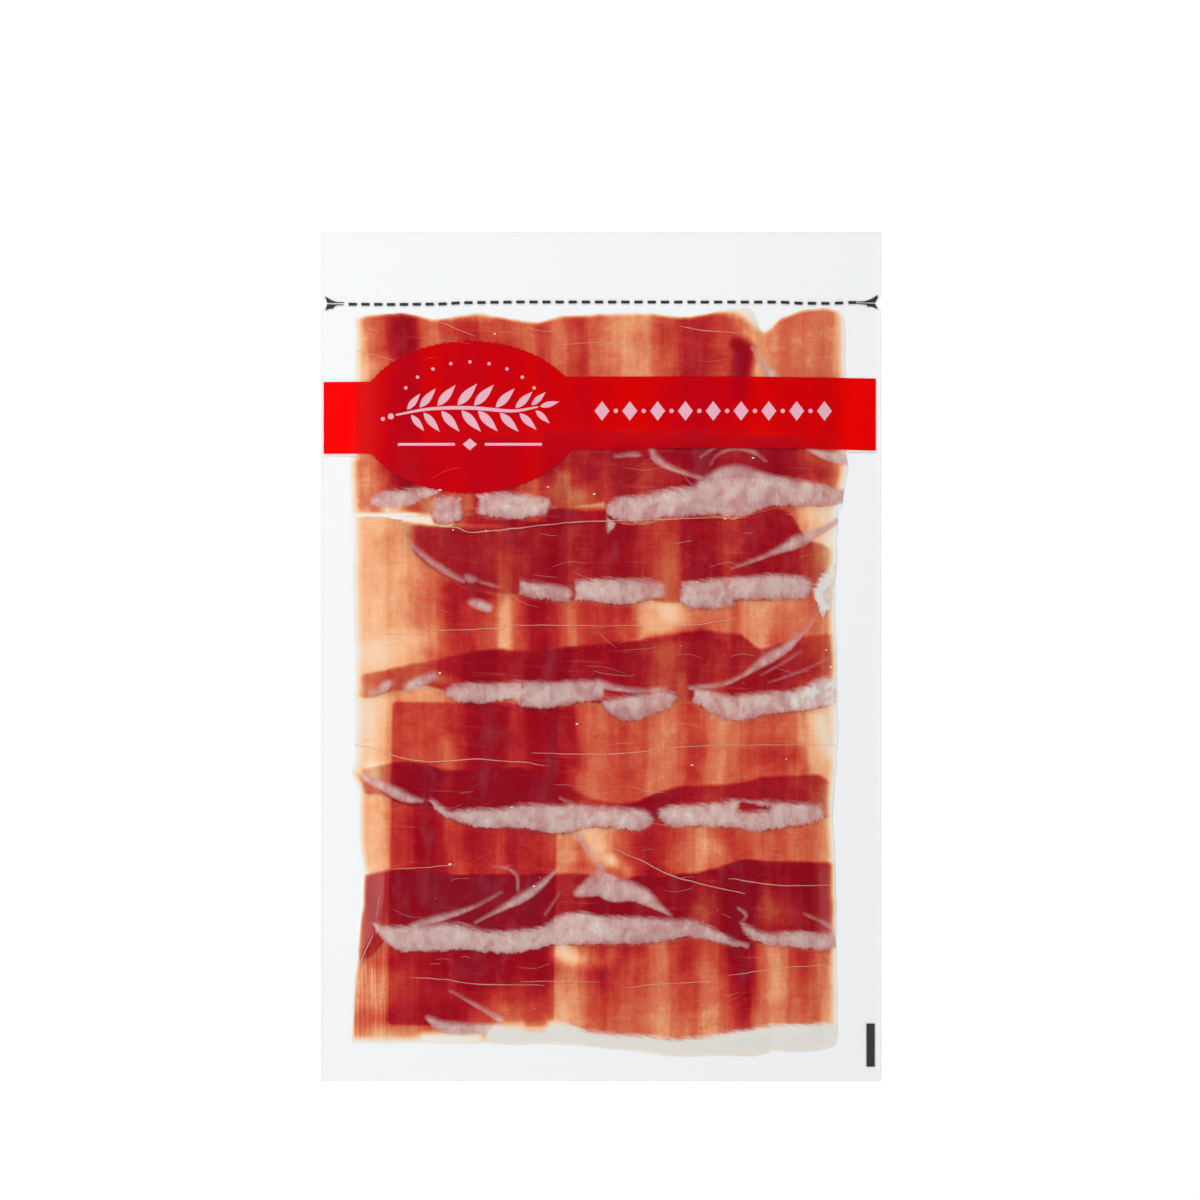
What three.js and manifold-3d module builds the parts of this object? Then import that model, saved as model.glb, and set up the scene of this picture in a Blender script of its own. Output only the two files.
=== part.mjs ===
// A flat vacuum pack of sliced cured ham, lying on its back with the printed
// face up. Millimetres. +X is to the right of the printed face, +Y towards the
// end with the tear notches, +Z out of the printed face. The origin is the
// centre of the pack's underside.
//
// Two closed bodies:
//   pouch       the sealed bag with the slices in it: a thin flat margin of
//               film all round, and a field of ham that steps down row by row
//   back_label  the paper label on the underside, flush with the back film
import * as THREE from "three";
import Module from "manifold-3d";

// ---------------------------------------------------------------- dimensions
const PACK_WIDTH = 170;
const PACK_LENGTH = 257.6;
const FILM = 0.3; // the two films of the margin, sealed to each other

// The field of ham inside the margin.
const HAM_LEFT = -73.6;
const HAM_RIGHT = 71.6;
const HAM_RIGHT_AT_TOP = 2.6; // the top row reaches this much further right
const HAM_TOP = 103.4;
const HAM_BOTTOM = -119.0;
const EDGE_WAVE = 0.7; // how uneven the field's outline is
const DRAPE = 3.2; // width over which the film comes down to the margin

// Slices lie in rows like roof tiles. Each row's lower lip lies on the row
// below it, whose upper edge is hidden under it.
const SLICE = 1.75; // one layer of slices
const LAP = 1.5; // what a second layer under it adds
const LIP_DROP = 1.0; // width of the step at a lip
const LAP_RISE = 4.0; // width of the soft rise over a hidden edge
const ROWS = [
  { lip: 44.6, hidden: 66.0, tilt: -0.002, wave: 1.2, phase: 0.6 },
  { lip: 16.8, hidden: 38.2, tilt: 0.002, wave: 0.7, phase: 2.1 },
  { lip: -15.4, hidden: 1.4, tilt: 0.004, wave: 1.0, phase: 4.0 },
  { lip: -52.2, hidden: -35.6, tilt: -0.008, wave: 1.0, phase: 1.2 },
  { lip: -88.2, hidden: -64.9, tilt: 0.006, wave: 1.2, phase: 5.1 },
];
// Within a row, neighbouring slices lap each other in narrow raised strips.
const SLICES_PER_ROW = 6;
const SEAM_HEIGHT = 0.42;
const SEAM_WIDTH = 7.5;
const FOLD_HEIGHT = 0.16; // soft unevenness of the meat

// The notches that start the tear, one in each long edge.
const NOTCH_Y = 107.1;
const NOTCH_DEPTH = 1.8;
const NOTCH_MOUTH = 4.5;

// The paper label on the underside.
const LABEL_WIDTH = 50.3;
const LABEL_LENGTH = 97.9;
const LABEL_CORNER = 1.5;
const LABEL_THICKNESS = 0.15;
const LABEL_X = -38.8;
const LABEL_Y = -63.0;
const LABEL_TURN = THREE.MathUtils.degToRad(-0.9);
const LABEL_CLEARANCE = 0.3;

// Fineness of the relief.
const COLUMNS = 46; // across the field
const LINES_PER_ROW = [3, 3]; // between the lips and the hidden edges
const LINE_GAP = 0.25;

// ------------------------------------------------------------------- helpers
const { smoothstep, lerp } = THREE.MathUtils;
const wave = (t, phase) =>
  0.6 * Math.sin(t + phase) + 0.4 * Math.sin(2.3 * t + 1.7 * phase + 0.8);

const hamLeft = (y) => HAM_LEFT + EDGE_WAVE * wave(y / 17, 0.4);
const hamRight = (y) =>
  HAM_RIGHT +
  HAM_RIGHT_AT_TOP * smoothstep(y, 48, 56) +
  EDGE_WAVE * wave(y / 15, 2.0);
const hamTop = (x) => HAM_TOP + 1.2 * EDGE_WAVE * wave(x / 14, 1.1);
const hamBottom = (x) => HAM_BOTTOM + 1.2 * EDGE_WAVE * wave(x / 19, 3.0);
const lipOf = (row, x) =>
  row.lip + row.tilt * x + row.wave * wave(x / 16, row.phase);
const hiddenOf = (row, x) =>
  row.hidden - row.tilt * x + 1.3 * row.wave * wave(x / 21, row.phase + 2.4);

// The raised strips of one row of slices.
function seams(x, r) {
  const pitch = (HAM_RIGHT - HAM_LEFT) / SLICES_PER_ROW;
  let h = 0;
  for (let k = 1; k < SLICES_PER_ROW; k++) {
    const at = HAM_LEFT + pitch * (k + 0.28 * Math.sin(2.7 * k + 1.9 * r));
    const d = Math.abs(x - at) / (SEAM_WIDTH / 2);
    h = Math.max(h, 1 - smoothstep(d, 0.55, 1.25));
  }
  return h * SEAM_HEIGHT;
}

// Height of the pack's upper face over its underside.
function height(x, y) {
  const inside = Math.min(
    x - hamLeft(y),
    hamRight(y) - x,
    y - hamBottom(x),
    hamTop(x) - y,
  );
  if (inside <= 0) return FILM;
  let meat = SLICE;
  let r = 0;
  for (const row of ROWS) {
    const lip = lipOf(row, x);
    const hidden = hiddenOf(row, x);
    const over = 1 - smoothstep(y, hidden - LAP_RISE / 2, hidden + LAP_RISE / 2);
    const before = smoothstep(y, lip - LIP_DROP, lip);
    meat += LAP * Math.min(over, before);
    if (y < lip) r++;
  }
  meat += seams(x, r) + FOLD_HEIGHT * wave(x / 6 + y / 40, 1.3 * r + 0.5);
  const rise = Math.sqrt(smoothstep(inside, 0, DRAPE));
  return FILM + meat * rise;
}

// -------------------------------------------------------- lines of the relief
// Nominal lines are bent to follow the field's outline, the lips and the
// hidden edges, so that each step in the relief is crossed at right angles.
function columnsAt(y) {
  const l = hamLeft(y);
  const r = hamRight(y);
  const xs = [-PACK_WIDTH / 2, l - 0.01];
  for (const d of [0.35, 1.2]) xs.push(l + d); // the steep foot of the drape
  for (let i = 0; i <= COLUMNS; i++)
    xs.push(lerp(l + DRAPE, r - DRAPE, i / COLUMNS));
  for (const d of [1.2, 0.35]) xs.push(r - d);
  xs.push(r + 0.01, PACK_WIDTH / 2);
  return xs;
}

function linesAt(x) {
  const top = hamTop(x);
  const bottom = hamBottom(x);
  const ys = [PACK_LENGTH / 2, top + 0.01, top - 0.35, top - 1.2, top - DRAPE];
  let from = top - DRAPE;
  for (const row of ROWS) {
    const hidden = hiddenOf(row, x);
    const lip = lipOf(row, x);
    const [before, after] = LINES_PER_ROW;
    for (let i = 1; i < before; i++)
      ys.push(lerp(from, hidden + LAP_RISE / 2, i / before));
    ys.push(hidden + LAP_RISE / 2, hidden, hidden - LAP_RISE / 2);
    for (let i = 1; i < after; i++)
      ys.push(lerp(hidden - LAP_RISE / 2, lip, i / after));
    ys.push(lip, lip - LIP_DROP / 2, lip - LIP_DROP);
    from = lip - LIP_DROP;
  }
  for (let i = 1; i < 5; i++) ys.push(lerp(from, bottom + DRAPE, i / 5));
  ys.push(bottom + DRAPE, bottom + 1.2, bottom + 0.35, bottom - 0.01);
  ys.push(-PACK_LENGTH / 2);
  // Lines keep their order and at least a hair's breadth between them.
  for (let j = 1; j < ys.length - 1; j++)
    ys[j] = Math.min(ys[j], ys[j - 1] - LINE_GAP);
  return ys;
}

// The upper face, a wall round it and a flat underside, as one closed surface.
function pouchSurface() {
  const nominal = columnsAt(0);
  const grid = nominal.map((x, i) =>
    linesAt(THREE.MathUtils.clamp(x, HAM_LEFT, HAM_RIGHT)).map((y, j, ys) => {
      const edge = j === 0 || j === ys.length - 1;
      const at = edge ? y : columnsAt(y)[i];
      const xx = edge ? columnsAt(ys[j === 0 ? 1 : j - 1])[i] : at;
      return [xx, y];
    }),
  );
  const nx = grid.length;
  const ny = grid[0].length;
  const position = [];
  for (const column of grid)
    for (const [x, y] of column) position.push(x, y, height(x, y));
  const index = [];
  const id = (i, j) => i * ny + j;
  for (let i = 0; i + 1 < nx; i++)
    for (let j = 0; j + 1 < ny; j++) {
      const [a, b, c, d] = [id(i, j), id(i, j + 1), id(i + 1, j + 1), id(i + 1, j)];
      index.push(a, b, c, a, c, d);
    }
  const ring = [];
  for (let j = 0; j < ny; j++) ring.push(id(0, j));
  for (let i = 1; i < nx; i++) ring.push(id(i, ny - 1));
  for (let j = ny - 2; j >= 0; j--) ring.push(id(nx - 1, j));
  for (let i = nx - 2; i > 0; i--) ring.push(id(i, 0));
  const first = position.length / 3;
  for (const v of ring) position.push(position[3 * v], position[3 * v + 1], 0);
  const centre = position.length / 3;
  position.push(0, 0, 0);
  ring.forEach((v, k) => {
    const n = (k + 1) % ring.length;
    index.push(v, first + k, first + n, v, first + n, ring[n]);
    index.push(first + n, first + k, centre);
  });
  return new THREE.BufferGeometry()
    .setAttribute("position", new THREE.Float32BufferAttribute(position, 3))
    .setIndex(index);
}

function roundedRectangle(width, length, corner) {
  const s = new THREE.Shape();
  const [w, l] = [width / 2, length / 2];
  s.absarc(w - corner, l - corner, corner, 0, Math.PI / 2);
  s.absarc(corner - w, l - corner, corner, Math.PI / 2, Math.PI);
  s.absarc(corner - w, corner - l, corner, Math.PI, 1.5 * Math.PI);
  s.absarc(w - corner, corner - l, corner, 1.5 * Math.PI, 2 * Math.PI);
  return s;
}

const plate = (shape, depth) =>
  new THREE.ExtrudeGeometry(shape, {
    depth,
    bevelEnabled: false,
    curveSegments: 4,
  });

function labelPlate(extra, depth) {
  return plate(
    roundedRectangle(
      LABEL_WIDTH + 2 * extra,
      LABEL_LENGTH + 2 * extra,
      LABEL_CORNER + extra,
    ),
    depth,
  )
    .rotateZ(LABEL_TURN)
    .translate(LABEL_X, LABEL_Y, 0);
}

function notch(side) {
  const s = new THREE.Shape();
  s.moveTo(side * (PACK_WIDTH / 2 + 1), NOTCH_MOUTH);
  s.lineTo(side * (PACK_WIDTH / 2 - NOTCH_DEPTH), 0);
  s.lineTo(side * (PACK_WIDTH / 2 + 1), -NOTCH_MOUTH);
  s.closePath();
  const slope = (NOTCH_MOUTH / 2 / NOTCH_DEPTH) * (NOTCH_DEPTH + 1);
  return plate(s, 3 * FILM)
    .scale(1, slope / NOTCH_MOUTH, 1)
    .translate(0, NOTCH_Y, -FILM);
}

// ------------------------------------------------------------ joins and cuts
const wasm = await Module();
wasm.setup();

function solid(geometry) {
  const g = geometry.index ? geometry.toNonIndexed() : geometry;
  const p = g.getAttribute("position");
  const seen = new Map();
  const vertProperties = [];
  const triVerts = [];
  for (let i = 0; i < p.count; i++) {
    const v = [p.getX(i), p.getY(i), p.getZ(i)];
    const key = v.map((c) => Math.round(c * 1e4)).join();
    if (!seen.has(key)) {
      seen.set(key, vertProperties.length / 3);
      vertProperties.push(...v);
    }
    triVerts.push(seen.get(key));
  }
  return new wasm.Manifold(
    new wasm.Mesh({
      numProp: 3,
      vertProperties: new Float32Array(vertProperties),
      triVerts: new Uint32Array(triVerts),
    }),
  );
}

function geometryOf(manifold) {
  const m = manifold.getMesh();
  const g = new THREE.BufferGeometry()
    .setAttribute(
      "position",
      new THREE.BufferAttribute(new Float32Array(m.vertProperties), 3),
    )
    .setIndex(new THREE.BufferAttribute(new Uint32Array(m.triVerts), 1));
  g.computeVertexNormals();
  return g;
}

// --------------------------------------------------------------------- parts
const part = new THREE.Group();

let body = solid(pouchSurface());
for (const side of [-1, 1]) body = body.subtract(solid(notch(side)));
const recess = labelPlate(LABEL_CLEARANCE, 1 + LABEL_THICKNESS).translate(0, 0, -1);
body = body.subtract(solid(recess));

const pouch = new THREE.Mesh(
  geometryOf(body),
  new THREE.MeshStandardMaterial({ color: 0xb8432f, roughness: 0.22, metalness: 0 }),
);
pouch.name = "pouch";
part.add(pouch);

const backLabel = new THREE.Mesh(
  labelPlate(0, LABEL_THICKNESS),
  new THREE.MeshStandardMaterial({ color: 0xf2f0ea, roughness: 0.7, metalness: 0 }),
);
backLabel.name = "back_label";
part.add(backLabel);

export default part;
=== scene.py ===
"""A clear vacuum pack of thin cured ham slices, lying on its back.

The slices lie in six rows like roof tiles under one tight clear film. Each row
is a closed slab of meat with a ragged lip of fat, worked out from the slices
that make it up: a slice is a stretch of meat from one place to another with an
optical thickness, and where slices lap each other the meat is thicker and
redder. The layout is drawn in layout units, U, of which the pack is 561 wide:
x to the right, y down, with the pack's centre at (601, 656.5).
"""

import math

import bpy
import numpy as np
from mathutils.geometry import delaunay_2d_cdt
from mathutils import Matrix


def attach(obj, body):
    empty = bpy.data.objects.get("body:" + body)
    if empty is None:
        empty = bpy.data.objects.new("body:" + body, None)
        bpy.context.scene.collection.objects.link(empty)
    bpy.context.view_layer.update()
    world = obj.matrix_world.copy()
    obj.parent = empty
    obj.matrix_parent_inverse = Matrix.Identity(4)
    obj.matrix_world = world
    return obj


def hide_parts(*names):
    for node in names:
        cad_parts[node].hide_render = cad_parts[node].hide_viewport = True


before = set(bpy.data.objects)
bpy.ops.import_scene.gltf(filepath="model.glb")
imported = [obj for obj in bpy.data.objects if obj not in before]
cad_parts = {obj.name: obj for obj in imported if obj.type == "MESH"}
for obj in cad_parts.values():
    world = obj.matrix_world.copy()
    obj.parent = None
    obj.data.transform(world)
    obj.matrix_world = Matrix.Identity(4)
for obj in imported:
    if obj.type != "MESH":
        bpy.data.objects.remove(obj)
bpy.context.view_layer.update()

# --------------------------------------------------------------------- layout
U = 0.170 / 561  # metres per layout unit
CX, CY = 601.0, 656.5
PACK = (320.5, 881.5, 231.5, 1081.5)  # left, right, top, bottom
MM = 1000 * U  # millimetres per layout unit

X0, X1, Y0, Y1 = 318, 884, 229, 1084
GX = np.arange(X0, X1 + 1, dtype=float)
GY = np.arange(Y0, Y1 + 1, dtype=float)
X, Y = np.meshgrid(GX, GY)
SHAPE = X.shape


def blur(a, s):
    r = int(math.ceil(3 * s))
    k = np.exp(-0.5 * (np.arange(-r, r + 1) / s) ** 2)
    k /= k.sum()
    for axis in range(a.ndim):
        pad = [(0, 0)] * a.ndim
        pad[axis] = (r, r)
        p = np.pad(a, pad, mode="edge")
        n = a.shape[axis]
        out = np.zeros_like(a)
        for i, w in enumerate(k):
            cut = [slice(None)] * a.ndim
            cut[axis] = slice(i, i + n)
            out += w * p[tuple(cut)]
        a = out
    return a


def grow(a, r):
    """The greatest value within r cells along each axis."""
    for axis in range(a.ndim):
        pad = [(0, 0)] * a.ndim
        pad[axis] = (r, r)
        p = np.pad(a, pad, mode="edge")
        n = a.shape[axis]
        out = a.copy()
        for i in range(2 * r + 1):
            cut = [slice(None)] * a.ndim
            cut[axis] = slice(i, i + n)
            out = np.maximum(out, p[tuple(cut)])
        a = out
    return a


def smooth(lo, hi, x):
    t = np.clip((x - lo) / (hi - lo), 0, 1)
    return t * t * (3 - 2 * t)


def noise(x, y, seed, cell_x, cell_y=None):
    """Smooth noise from 0 to 1 on cells of the given size."""
    cell_y = cell_y or cell_x
    table = np.random.RandomState(seed).rand(64, 64)
    u, v = np.asarray(x) / cell_x + 7.3, np.asarray(y) / cell_y + 3.1
    i, j = np.floor(u).astype(int), np.floor(v).astype(int)
    f, g = u - i, v - j
    f, g = f * f * (3 - 2 * f), g * g * (3 - 2 * g)
    i0, j0, i1, j1 = i % 64, j % 64, (i + 1) % 64, (j + 1) % 64
    return (table[j0, i0] * (1 - f) + table[j0, i1] * f) * (1 - g) + (
        table[j1, i0] * (1 - f) + table[j1, i1] * f
    ) * g


def along(knots, at, soft=3.0):
    """A curve through the knots (at, value), eased by soft units."""
    k = np.array(knots, float)
    dense = np.arange(at[0] - 40, at[-1] + 41)
    v = blur(np.interp(dense, k[:, 0], k[:, 1]), soft)
    return np.interp(at, dense, v)


def sample(field, x, y):
    """Bilinear look-up of a field at layout positions."""
    u = np.clip(np.asarray(x) - X0, 0, SHAPE[1] - 1.001)
    v = np.clip(np.asarray(y) - Y0, 0, SHAPE[0] - 1.001)
    i, j = u.astype(int), v.astype(int)
    f, g = u - i, v - j
    return (field[j, i] * (1 - f) + field[j, i + 1] * f) * (1 - g) + (
        field[j + 1, i] * (1 - f) + field[j + 1, i + 1] * f
    ) * g


def spine(knots, n=6):
    """A smooth line through knots of (x, y, half width)."""
    p = np.array(knots, float)
    if len(p) == 1:
        return np.vstack([p, p + [0.01, 0, 0]])
    q = np.vstack([2 * p[0] - p[1], p, 2 * p[-1] - p[-2]])
    out = []
    for a, b, c, d in zip(q[:-3], q[1:-2], q[2:-1], q[3:]):
        for t in np.arange(n) / n:
            out.append(
                0.5
                * (
                    2 * b
                    + (c - a) * t
                    + (2 * a - 5 * b + 4 * c - d) * t * t
                    + (3 * b - a - 3 * c + d) * t**3
                )
            )
    out.append(p[-1])
    out = np.array(out)
    out[:, 2] = np.maximum(out[:, 2], 0.2)
    return out


FAR = 36.0


def stroke(knots):
    """The window and the depth inside (positive) of a stroke along a spine."""
    p = spine(knots)
    r = p[:, 2].max() + FAR
    i0 = max(int(p[:, 0].min() - r) - X0, 0)
    i1 = min(int(p[:, 0].max() + r) - X0 + 2, SHAPE[1])
    j0 = max(int(p[:, 1].min() - r) - Y0, 0)
    j1 = min(int(p[:, 1].max() + r) - Y0 + 2, SHAPE[0])
    win = (slice(j0, j1), slice(i0, i1))
    xx, yy = X[win], Y[win]
    best = np.full(xx.shape, -FAR)
    for a, b in zip(p[:-1], p[1:]):
        d = b[:2] - a[:2]
        t = np.clip(
            ((xx - a[0]) * d[0] + (yy - a[1]) * d[1]) / max(d @ d, 1e-9), 0, 1
        )
        dist = np.hypot(xx - a[0] - t * d[0], yy - a[1] - t * d[1])
        best = np.maximum(best, a[2] + t * (b[2] - a[2]) - dist)
    return win, best


# ------------------------------------------------------------------- the rows
# top: the row's upper edge, hidden under the row above but for the first row.
# lip: its lower edge where it has no fat. Both are (x, y) knots.
# left, right: its ends, as (y, x) knots. left_soft: how far the left end fades.
# slices: (from x, optical thickness), one for each slice or lap of slices.
# fat: (tone, kind, knots of x, y, half width). A rim or a block reaches the
# lip, and a block ends square at its first and last knots.
# shade: (amount, softness, knots): meat that is folded or thinner there. One entry in the first row is a
# painted shadow under the red band.
ROWS = [
    dict(
        name="ham_row_1",
        top=[(355, 318.5), (370, 314.5), (400, 312), (420, 315.5), (432, 319.5),
             (455, 316), (478, 313), (500, 316), (520, 320), (540, 322),
             (560, 316), (600, 313.5), (650, 313), (680, 317), (700, 315),
             (720, 311), (740, 307), (752, 308), (757, 320), (760, 333),
             (770, 329), (780, 318), (800, 310), (825, 307), (840, 310.5),
             (846, 320)],
        lip=[(350, 513), (440, 512), (462, 513), (476, 513), (484, 506), (552, 506),
             (590, 505), (603, 502), (760, 504), (846, 504)],
        left=[(300, 355), (452, 355), (462, 350), (512, 351)],
        right=[(300, 845), (450, 845), (466, 848), (486, 845), (504, 842)],
        slices=[(340, 0.60), (358, 0.85), (367, 1.10), (377, 1.40), (387, 1.78), (397,
                 2.15), (418, 1.20), (429, 1.05), (438, 1.42), (458,
                 1.62), (479, 1.32), (497, 1.48), (508, 1.30), (518,
                 1.15), (527, 1.03), (537, 1.45), (548, 1.12), (567,
                 1.40), (577, 1.60), (589, 1.15), (600, 1.00), (612,
                 0.90), (620, 0.79), (640, 0.90), (649, 1.15), (660,
                 1.32), (670, 1.50), (680, 1.70), (707, 1.62), (718,
                 1.45), (730, 1.25), (741, 1.00), (748, 0.75), (766,
                 0.85), (777, 1.18), (789, 1.03), (830, 0.85)],
        fat=[(0.50, "rim", [(376, 501, 6), (388, 499, 9.5), (405, 498, 9),
                            (420, 494, 7), (436, 492, 3.5)]),
             (0.40, "block", [(434, 511, 12), (446, 510, 14.5), (460, 509, 13)]),
             (0.62, "block", [(479, 505, 10), (495, 505, 12.5), (515, 506, 13),
                              (532, 506, 11), (547, 506, 8)]),
             (0.50, "rim", [(612, 510, 7), (622, 509, 12), (640, 508.5, 14),
                            (660, 504, 14.5), (680, 502, 15), (700, 500, 16),
                            (715, 495, 20), (735, 495, 22), (752, 492, 20),
                            (775, 491, 15.5), (800, 493, 13.5), (825, 496, 11),
                            (843, 496, 8)]),
             (0.05, "vein", [(708, 480, 5), (722, 474, 7), (740, 472, 7),
                             (760, 476, 5), (780, 480, 3)]),
             (0.40, "vein", [(651, 448, 3), (655, 458, 4), (664, 465, 3.4),
                             (680, 472, 2.2), (706, 480, 2.2)]),
             (0.10, "vein", [(710, 466, 0.8), (717, 456, 1.2), (733, 449, 2),
                             (752, 452, 2), (766, 462, 1)]),
             (0.60, "vein", [(806, 448, 2), (825, 455, 5), (845, 459, 7)]),
             (0.35, "vein", [(615, 457, 1.5), (634, 455, 2.5), (641, 456, 1)]),
             (0.20, "vein", [(700, 458, 1), (716, 447, 2), (730, 444, 1)]),
             (0.50, "vein", [(752, 348, 1), (760, 362, 3), (770, 374, 6),
                             (776, 384, 6)])],
        shade=[(1.15, 7, [(738, 344, 5), (744, 352, 8), (742, 372, 8),
                          (741, 392, 8)]),
               (-1.15, 12, [(562, 480, 6), (563, 494, 10), (580, 498, 8)]),
               (0.30, 10, [(358, 465, 6), (361, 500, 6)]),
               # Painted shadow along the lower edge of the red band.
               (0.50, 7, [(598, 453, 4), (640, 454, 4), (712, 454, 4)]),
               (-1.2, 8, [(390, 508, 6), (428, 506, 8)]),
               (-0.7, 7, [(469, 498, 5), (470, 510, 6)]),
               (-0.15, 12, [(366, 470, 8), (374, 494, 8)]),
               (-0.7, 8, [(448, 313, 4), (488, 312, 4)]),
               (-1.0, 8, [(722, 308, 3), (745, 309, 6), (757, 322, 3)]),
               (-0.5, 8, [(843, 470, 4), (843, 502, 4)]),
               (-0.2, 9, [(356, 518, 4), (400, 516, 3)]),
               (-0.35, 14, [(656, 474, 8), (690, 472, 8)]),
               (-0.30, 12, [(362, 372, 8), (384, 366, 8)]),
               (0.35, 14, [(720, 470, 6), (790, 474, 7), (838, 472, 4)]),
               (0.3, 10, [(385, 472, 6), (430, 470, 6)])],
    ),
    dict(
        name="ham_row_2",
        gain=1.28,
        top=[(350, 440), (600, 432), (836, 438)],
        lip=[(402, 540), (412, 552), (425, 563), (440, 574), (455, 581),
             (468, 588), (486, 590), (505, 594), (521, 595), (572, 598), (580, 600),
             (640, 598), (656, 601), (668, 603), (684, 602), (740, 580), (812, 588),
             (836, 582)],
        left=[(420, 402), (620, 402)],
        right=[(420, 838), (500, 838), (560, 836), (620, 833)],
        slices=[(395, 0.60), (418, 0.75), (428, 0.60), (438, 0.42), (448, 0.20), (468,
                 0.42), (487, 0.50), (497, 0.65), (517, 0.40), (527,
                 0.15), (537, 0.40), (547, 0.88), (567, 0.62), (577,
                 0.50), (587, 0.62), (607, 0.70), (617, 1.15), (628,
                 1.00), (638, 0.86), (650, 0.80), (667, 0.84), (680,
                 1.05), (689, 1.35), (704, 1.15), (714, 0.80), (722,
                 0.62), (730, 0.76), (740, 1.15), (749, 1.38), (780, 1.05), (797, 0.55), (808,
                 0.38), (820, 0.26)],
        fat=[(0.02, "vein", [(410, 544, 2), (425, 557, 3.4), (440, 568, 3.6),
                             (455, 577, 3), (463, 581, 2.6)]),
             (0.40, "vein", [(613, 512, 6), (611, 524, 4.5), (608, 533, 1.2)]),
             (0.25, "vein", [(466, 577, 2.5), (470, 579, 4.2), (476, 580, 2)]),
             (0.10, "vein", [(480, 582, 1.2), (490, 585, 1.4), (500, 588, 0.8)]),
             (0.28, "block", [(522, 587, 8), (540, 590.5, 9), (556, 593, 8.5),
                              (570, 596, 7.5)]),
             (0.80, "block", [(577, 590, 10), (595, 590, 12), (610, 591, 13),
                              (620, 592, 13.5)]),
             (0.36, "block", [(620, 592, 13), (635, 591, 12.5), (648, 590, 11),
                              (662, 590, 8)]),
             (0.42, "block", [(681, 592, 9), (692, 594, 13), (705, 595, 15),
                              (718, 593, 15.5), (733, 591, 13)]),
             (0.45, "block", [(733, 588, 12), (750, 588, 12.5), (770, 587, 13),
                              (795, 587, 12), (809, 588, 9)]),
             (1.40, "rim", [(834, 568, 3), (827, 581, 8), (823, 593, 10),
                            (824, 605, 7), (823, 616, 2)]),
             (0.42, "vein", [(731, 569, 0.8), (750, 562, 1.7), (766, 556, 2.4),
                             (782, 549, 4), (797, 542, 7), (812, 535, 5.5),
                             (828, 527, 4), (842, 518, 4)])],
        shade=[(-0.2, 14, [(830, 548, 6), (836, 575, 4)]),
               (0.35, 10, [(474, 542, 8), (508, 542, 8)]),
               (0.5, 8, [(455, 535, 8), (460, 560, 6)]),
               (1.3, 5, [(458, 520, 4), (480, 519, 7), (540, 517, 7),
                         (612, 516, 6)]),
               (0.35, 10, [(440, 560, 5), (470, 578, 5)]),
               (-0.35, 12, [(668, 566, 8), (672, 596, 10)]),
               (-0.8, 8, [(405, 530, 5), (409, 558, 4)]),
               (-0.8, 6, [(404, 517, 6), (430, 521, 4)]),
               (-0.4, 8, [(424, 600, 4), (440, 610, 5)])],
    ),
    dict(
        name="ham_row_3",
        left_soft=11,
        top=[(345, 517.5), (370, 517), (385, 517), (400, 519.5), (415, 523),
             (440, 526), (480, 527), (540, 521),
             (600, 521), (700, 516), (760, 510), (778, 508), (789, 512),
             (796, 522), (802, 534), (812, 541), (822, 543), (832, 549),
             (840, 556)],
        lip=[(345, 697), (372, 699), (390, 691), (404, 691), (424, 685),
             (445, 690), (458, 696), (500, 697), (600, 703),
             (668, 704), (690, 700), (740, 706), (836, 704)],
        left=[(520, 353), (620, 353), (650, 355), (720, 355)],
        right=[(500, 836), (580, 834), (620, 835), (720, 836)],
        slices=[(340, 0.55), (358, 0.60), (387, 0.72), (407, 0.80), (417, 0.95), (427,
                 1.15), (437, 1.34), (447, 1.62), (467, 1.64), (477,
                 1.55), (487, 1.30), (497, 0.90), (512, 1.30), (519,
                 1.55), (527, 2.00), (547, 1.83), (557, 1.44), (567,
                 1.08), (577, 1.43), (587, 1.50), (597, 1.56), (607,
                 1.68), (617, 1.50), (627, 1.08), (637, 0.78), (647,
                 0.65), (658, 0.61), (677, 0.84), (687, 1.15), (697,
                 1.10), (727, 0.90), (738, 0.82), (758, 0.88), (770,
                 0.95), (787, 1.05), (800, 1.13), (819, 0.85)],
        fat=[(0.30, "vein", [(472, 603, 4), (480, 605, 5.5), (488, 608, 5)]),
             (0.36, "vein", [(371, 694, 3), (380, 690, 5), (390, 683, 4)]),
             (0.50, "vein", [(406, 687, 4), (418, 683, 6.5), (433, 676, 4.5)]),
             (0.44, "rim", [(447, 692, 3), (456, 692, 8), (470, 693, 9.5)]),
             (0.50, "block", [(462, 693, 10), (480, 693, 10.5), (500, 691.5, 9),
                              (517, 690, 9), (522, 692, 11)]),
             (0.62, "block", [(522, 694, 12.5), (540, 695, 13.5), (552, 695, 13)]),
             (0.36, "block", [(550, 695, 13), (565, 693, 12),
                              (585, 691, 11), (603, 690, 9)]),
             (0.55, "vein", [(598, 684, 5), (615, 688, 3.2), (640, 691, 2.6),
                             (664, 690, 3)]),
             (0.32, "rim", [(606, 703, 5), (620, 708, 11), (632, 708, 13.5),
                            (648, 704, 12), (662, 700, 10), (671, 698, 6)]),
             (0.50, "block", [(694, 694, 8), (705, 698, 10), (718, 704, 11.5),
                              (732, 708, 13), (748, 706.5, 13), (770, 703, 11.5),
                              (790, 701, 11)]),
             (0.95, "rim", [(795, 701, 11), (812, 697, 13), (828, 691, 15),
                            (838, 689, 14)]),
             (0.36, "vein", [(690, 688, 2.4), (720, 685, 2.4), (742, 676, 2),
                             (757, 666, 4), (772, 656, 6), (786, 648, 5),
                             (797, 638, 3.4), (807, 629, 1.8), (815, 618, 1.2),
                             (822, 605, 0.8)]),
             (0.35, "vein", [(744, 628, 0.4), (757, 631, 0.5), (764, 642, 0.5),
                             (762, 656, 0.4)]),
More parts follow.
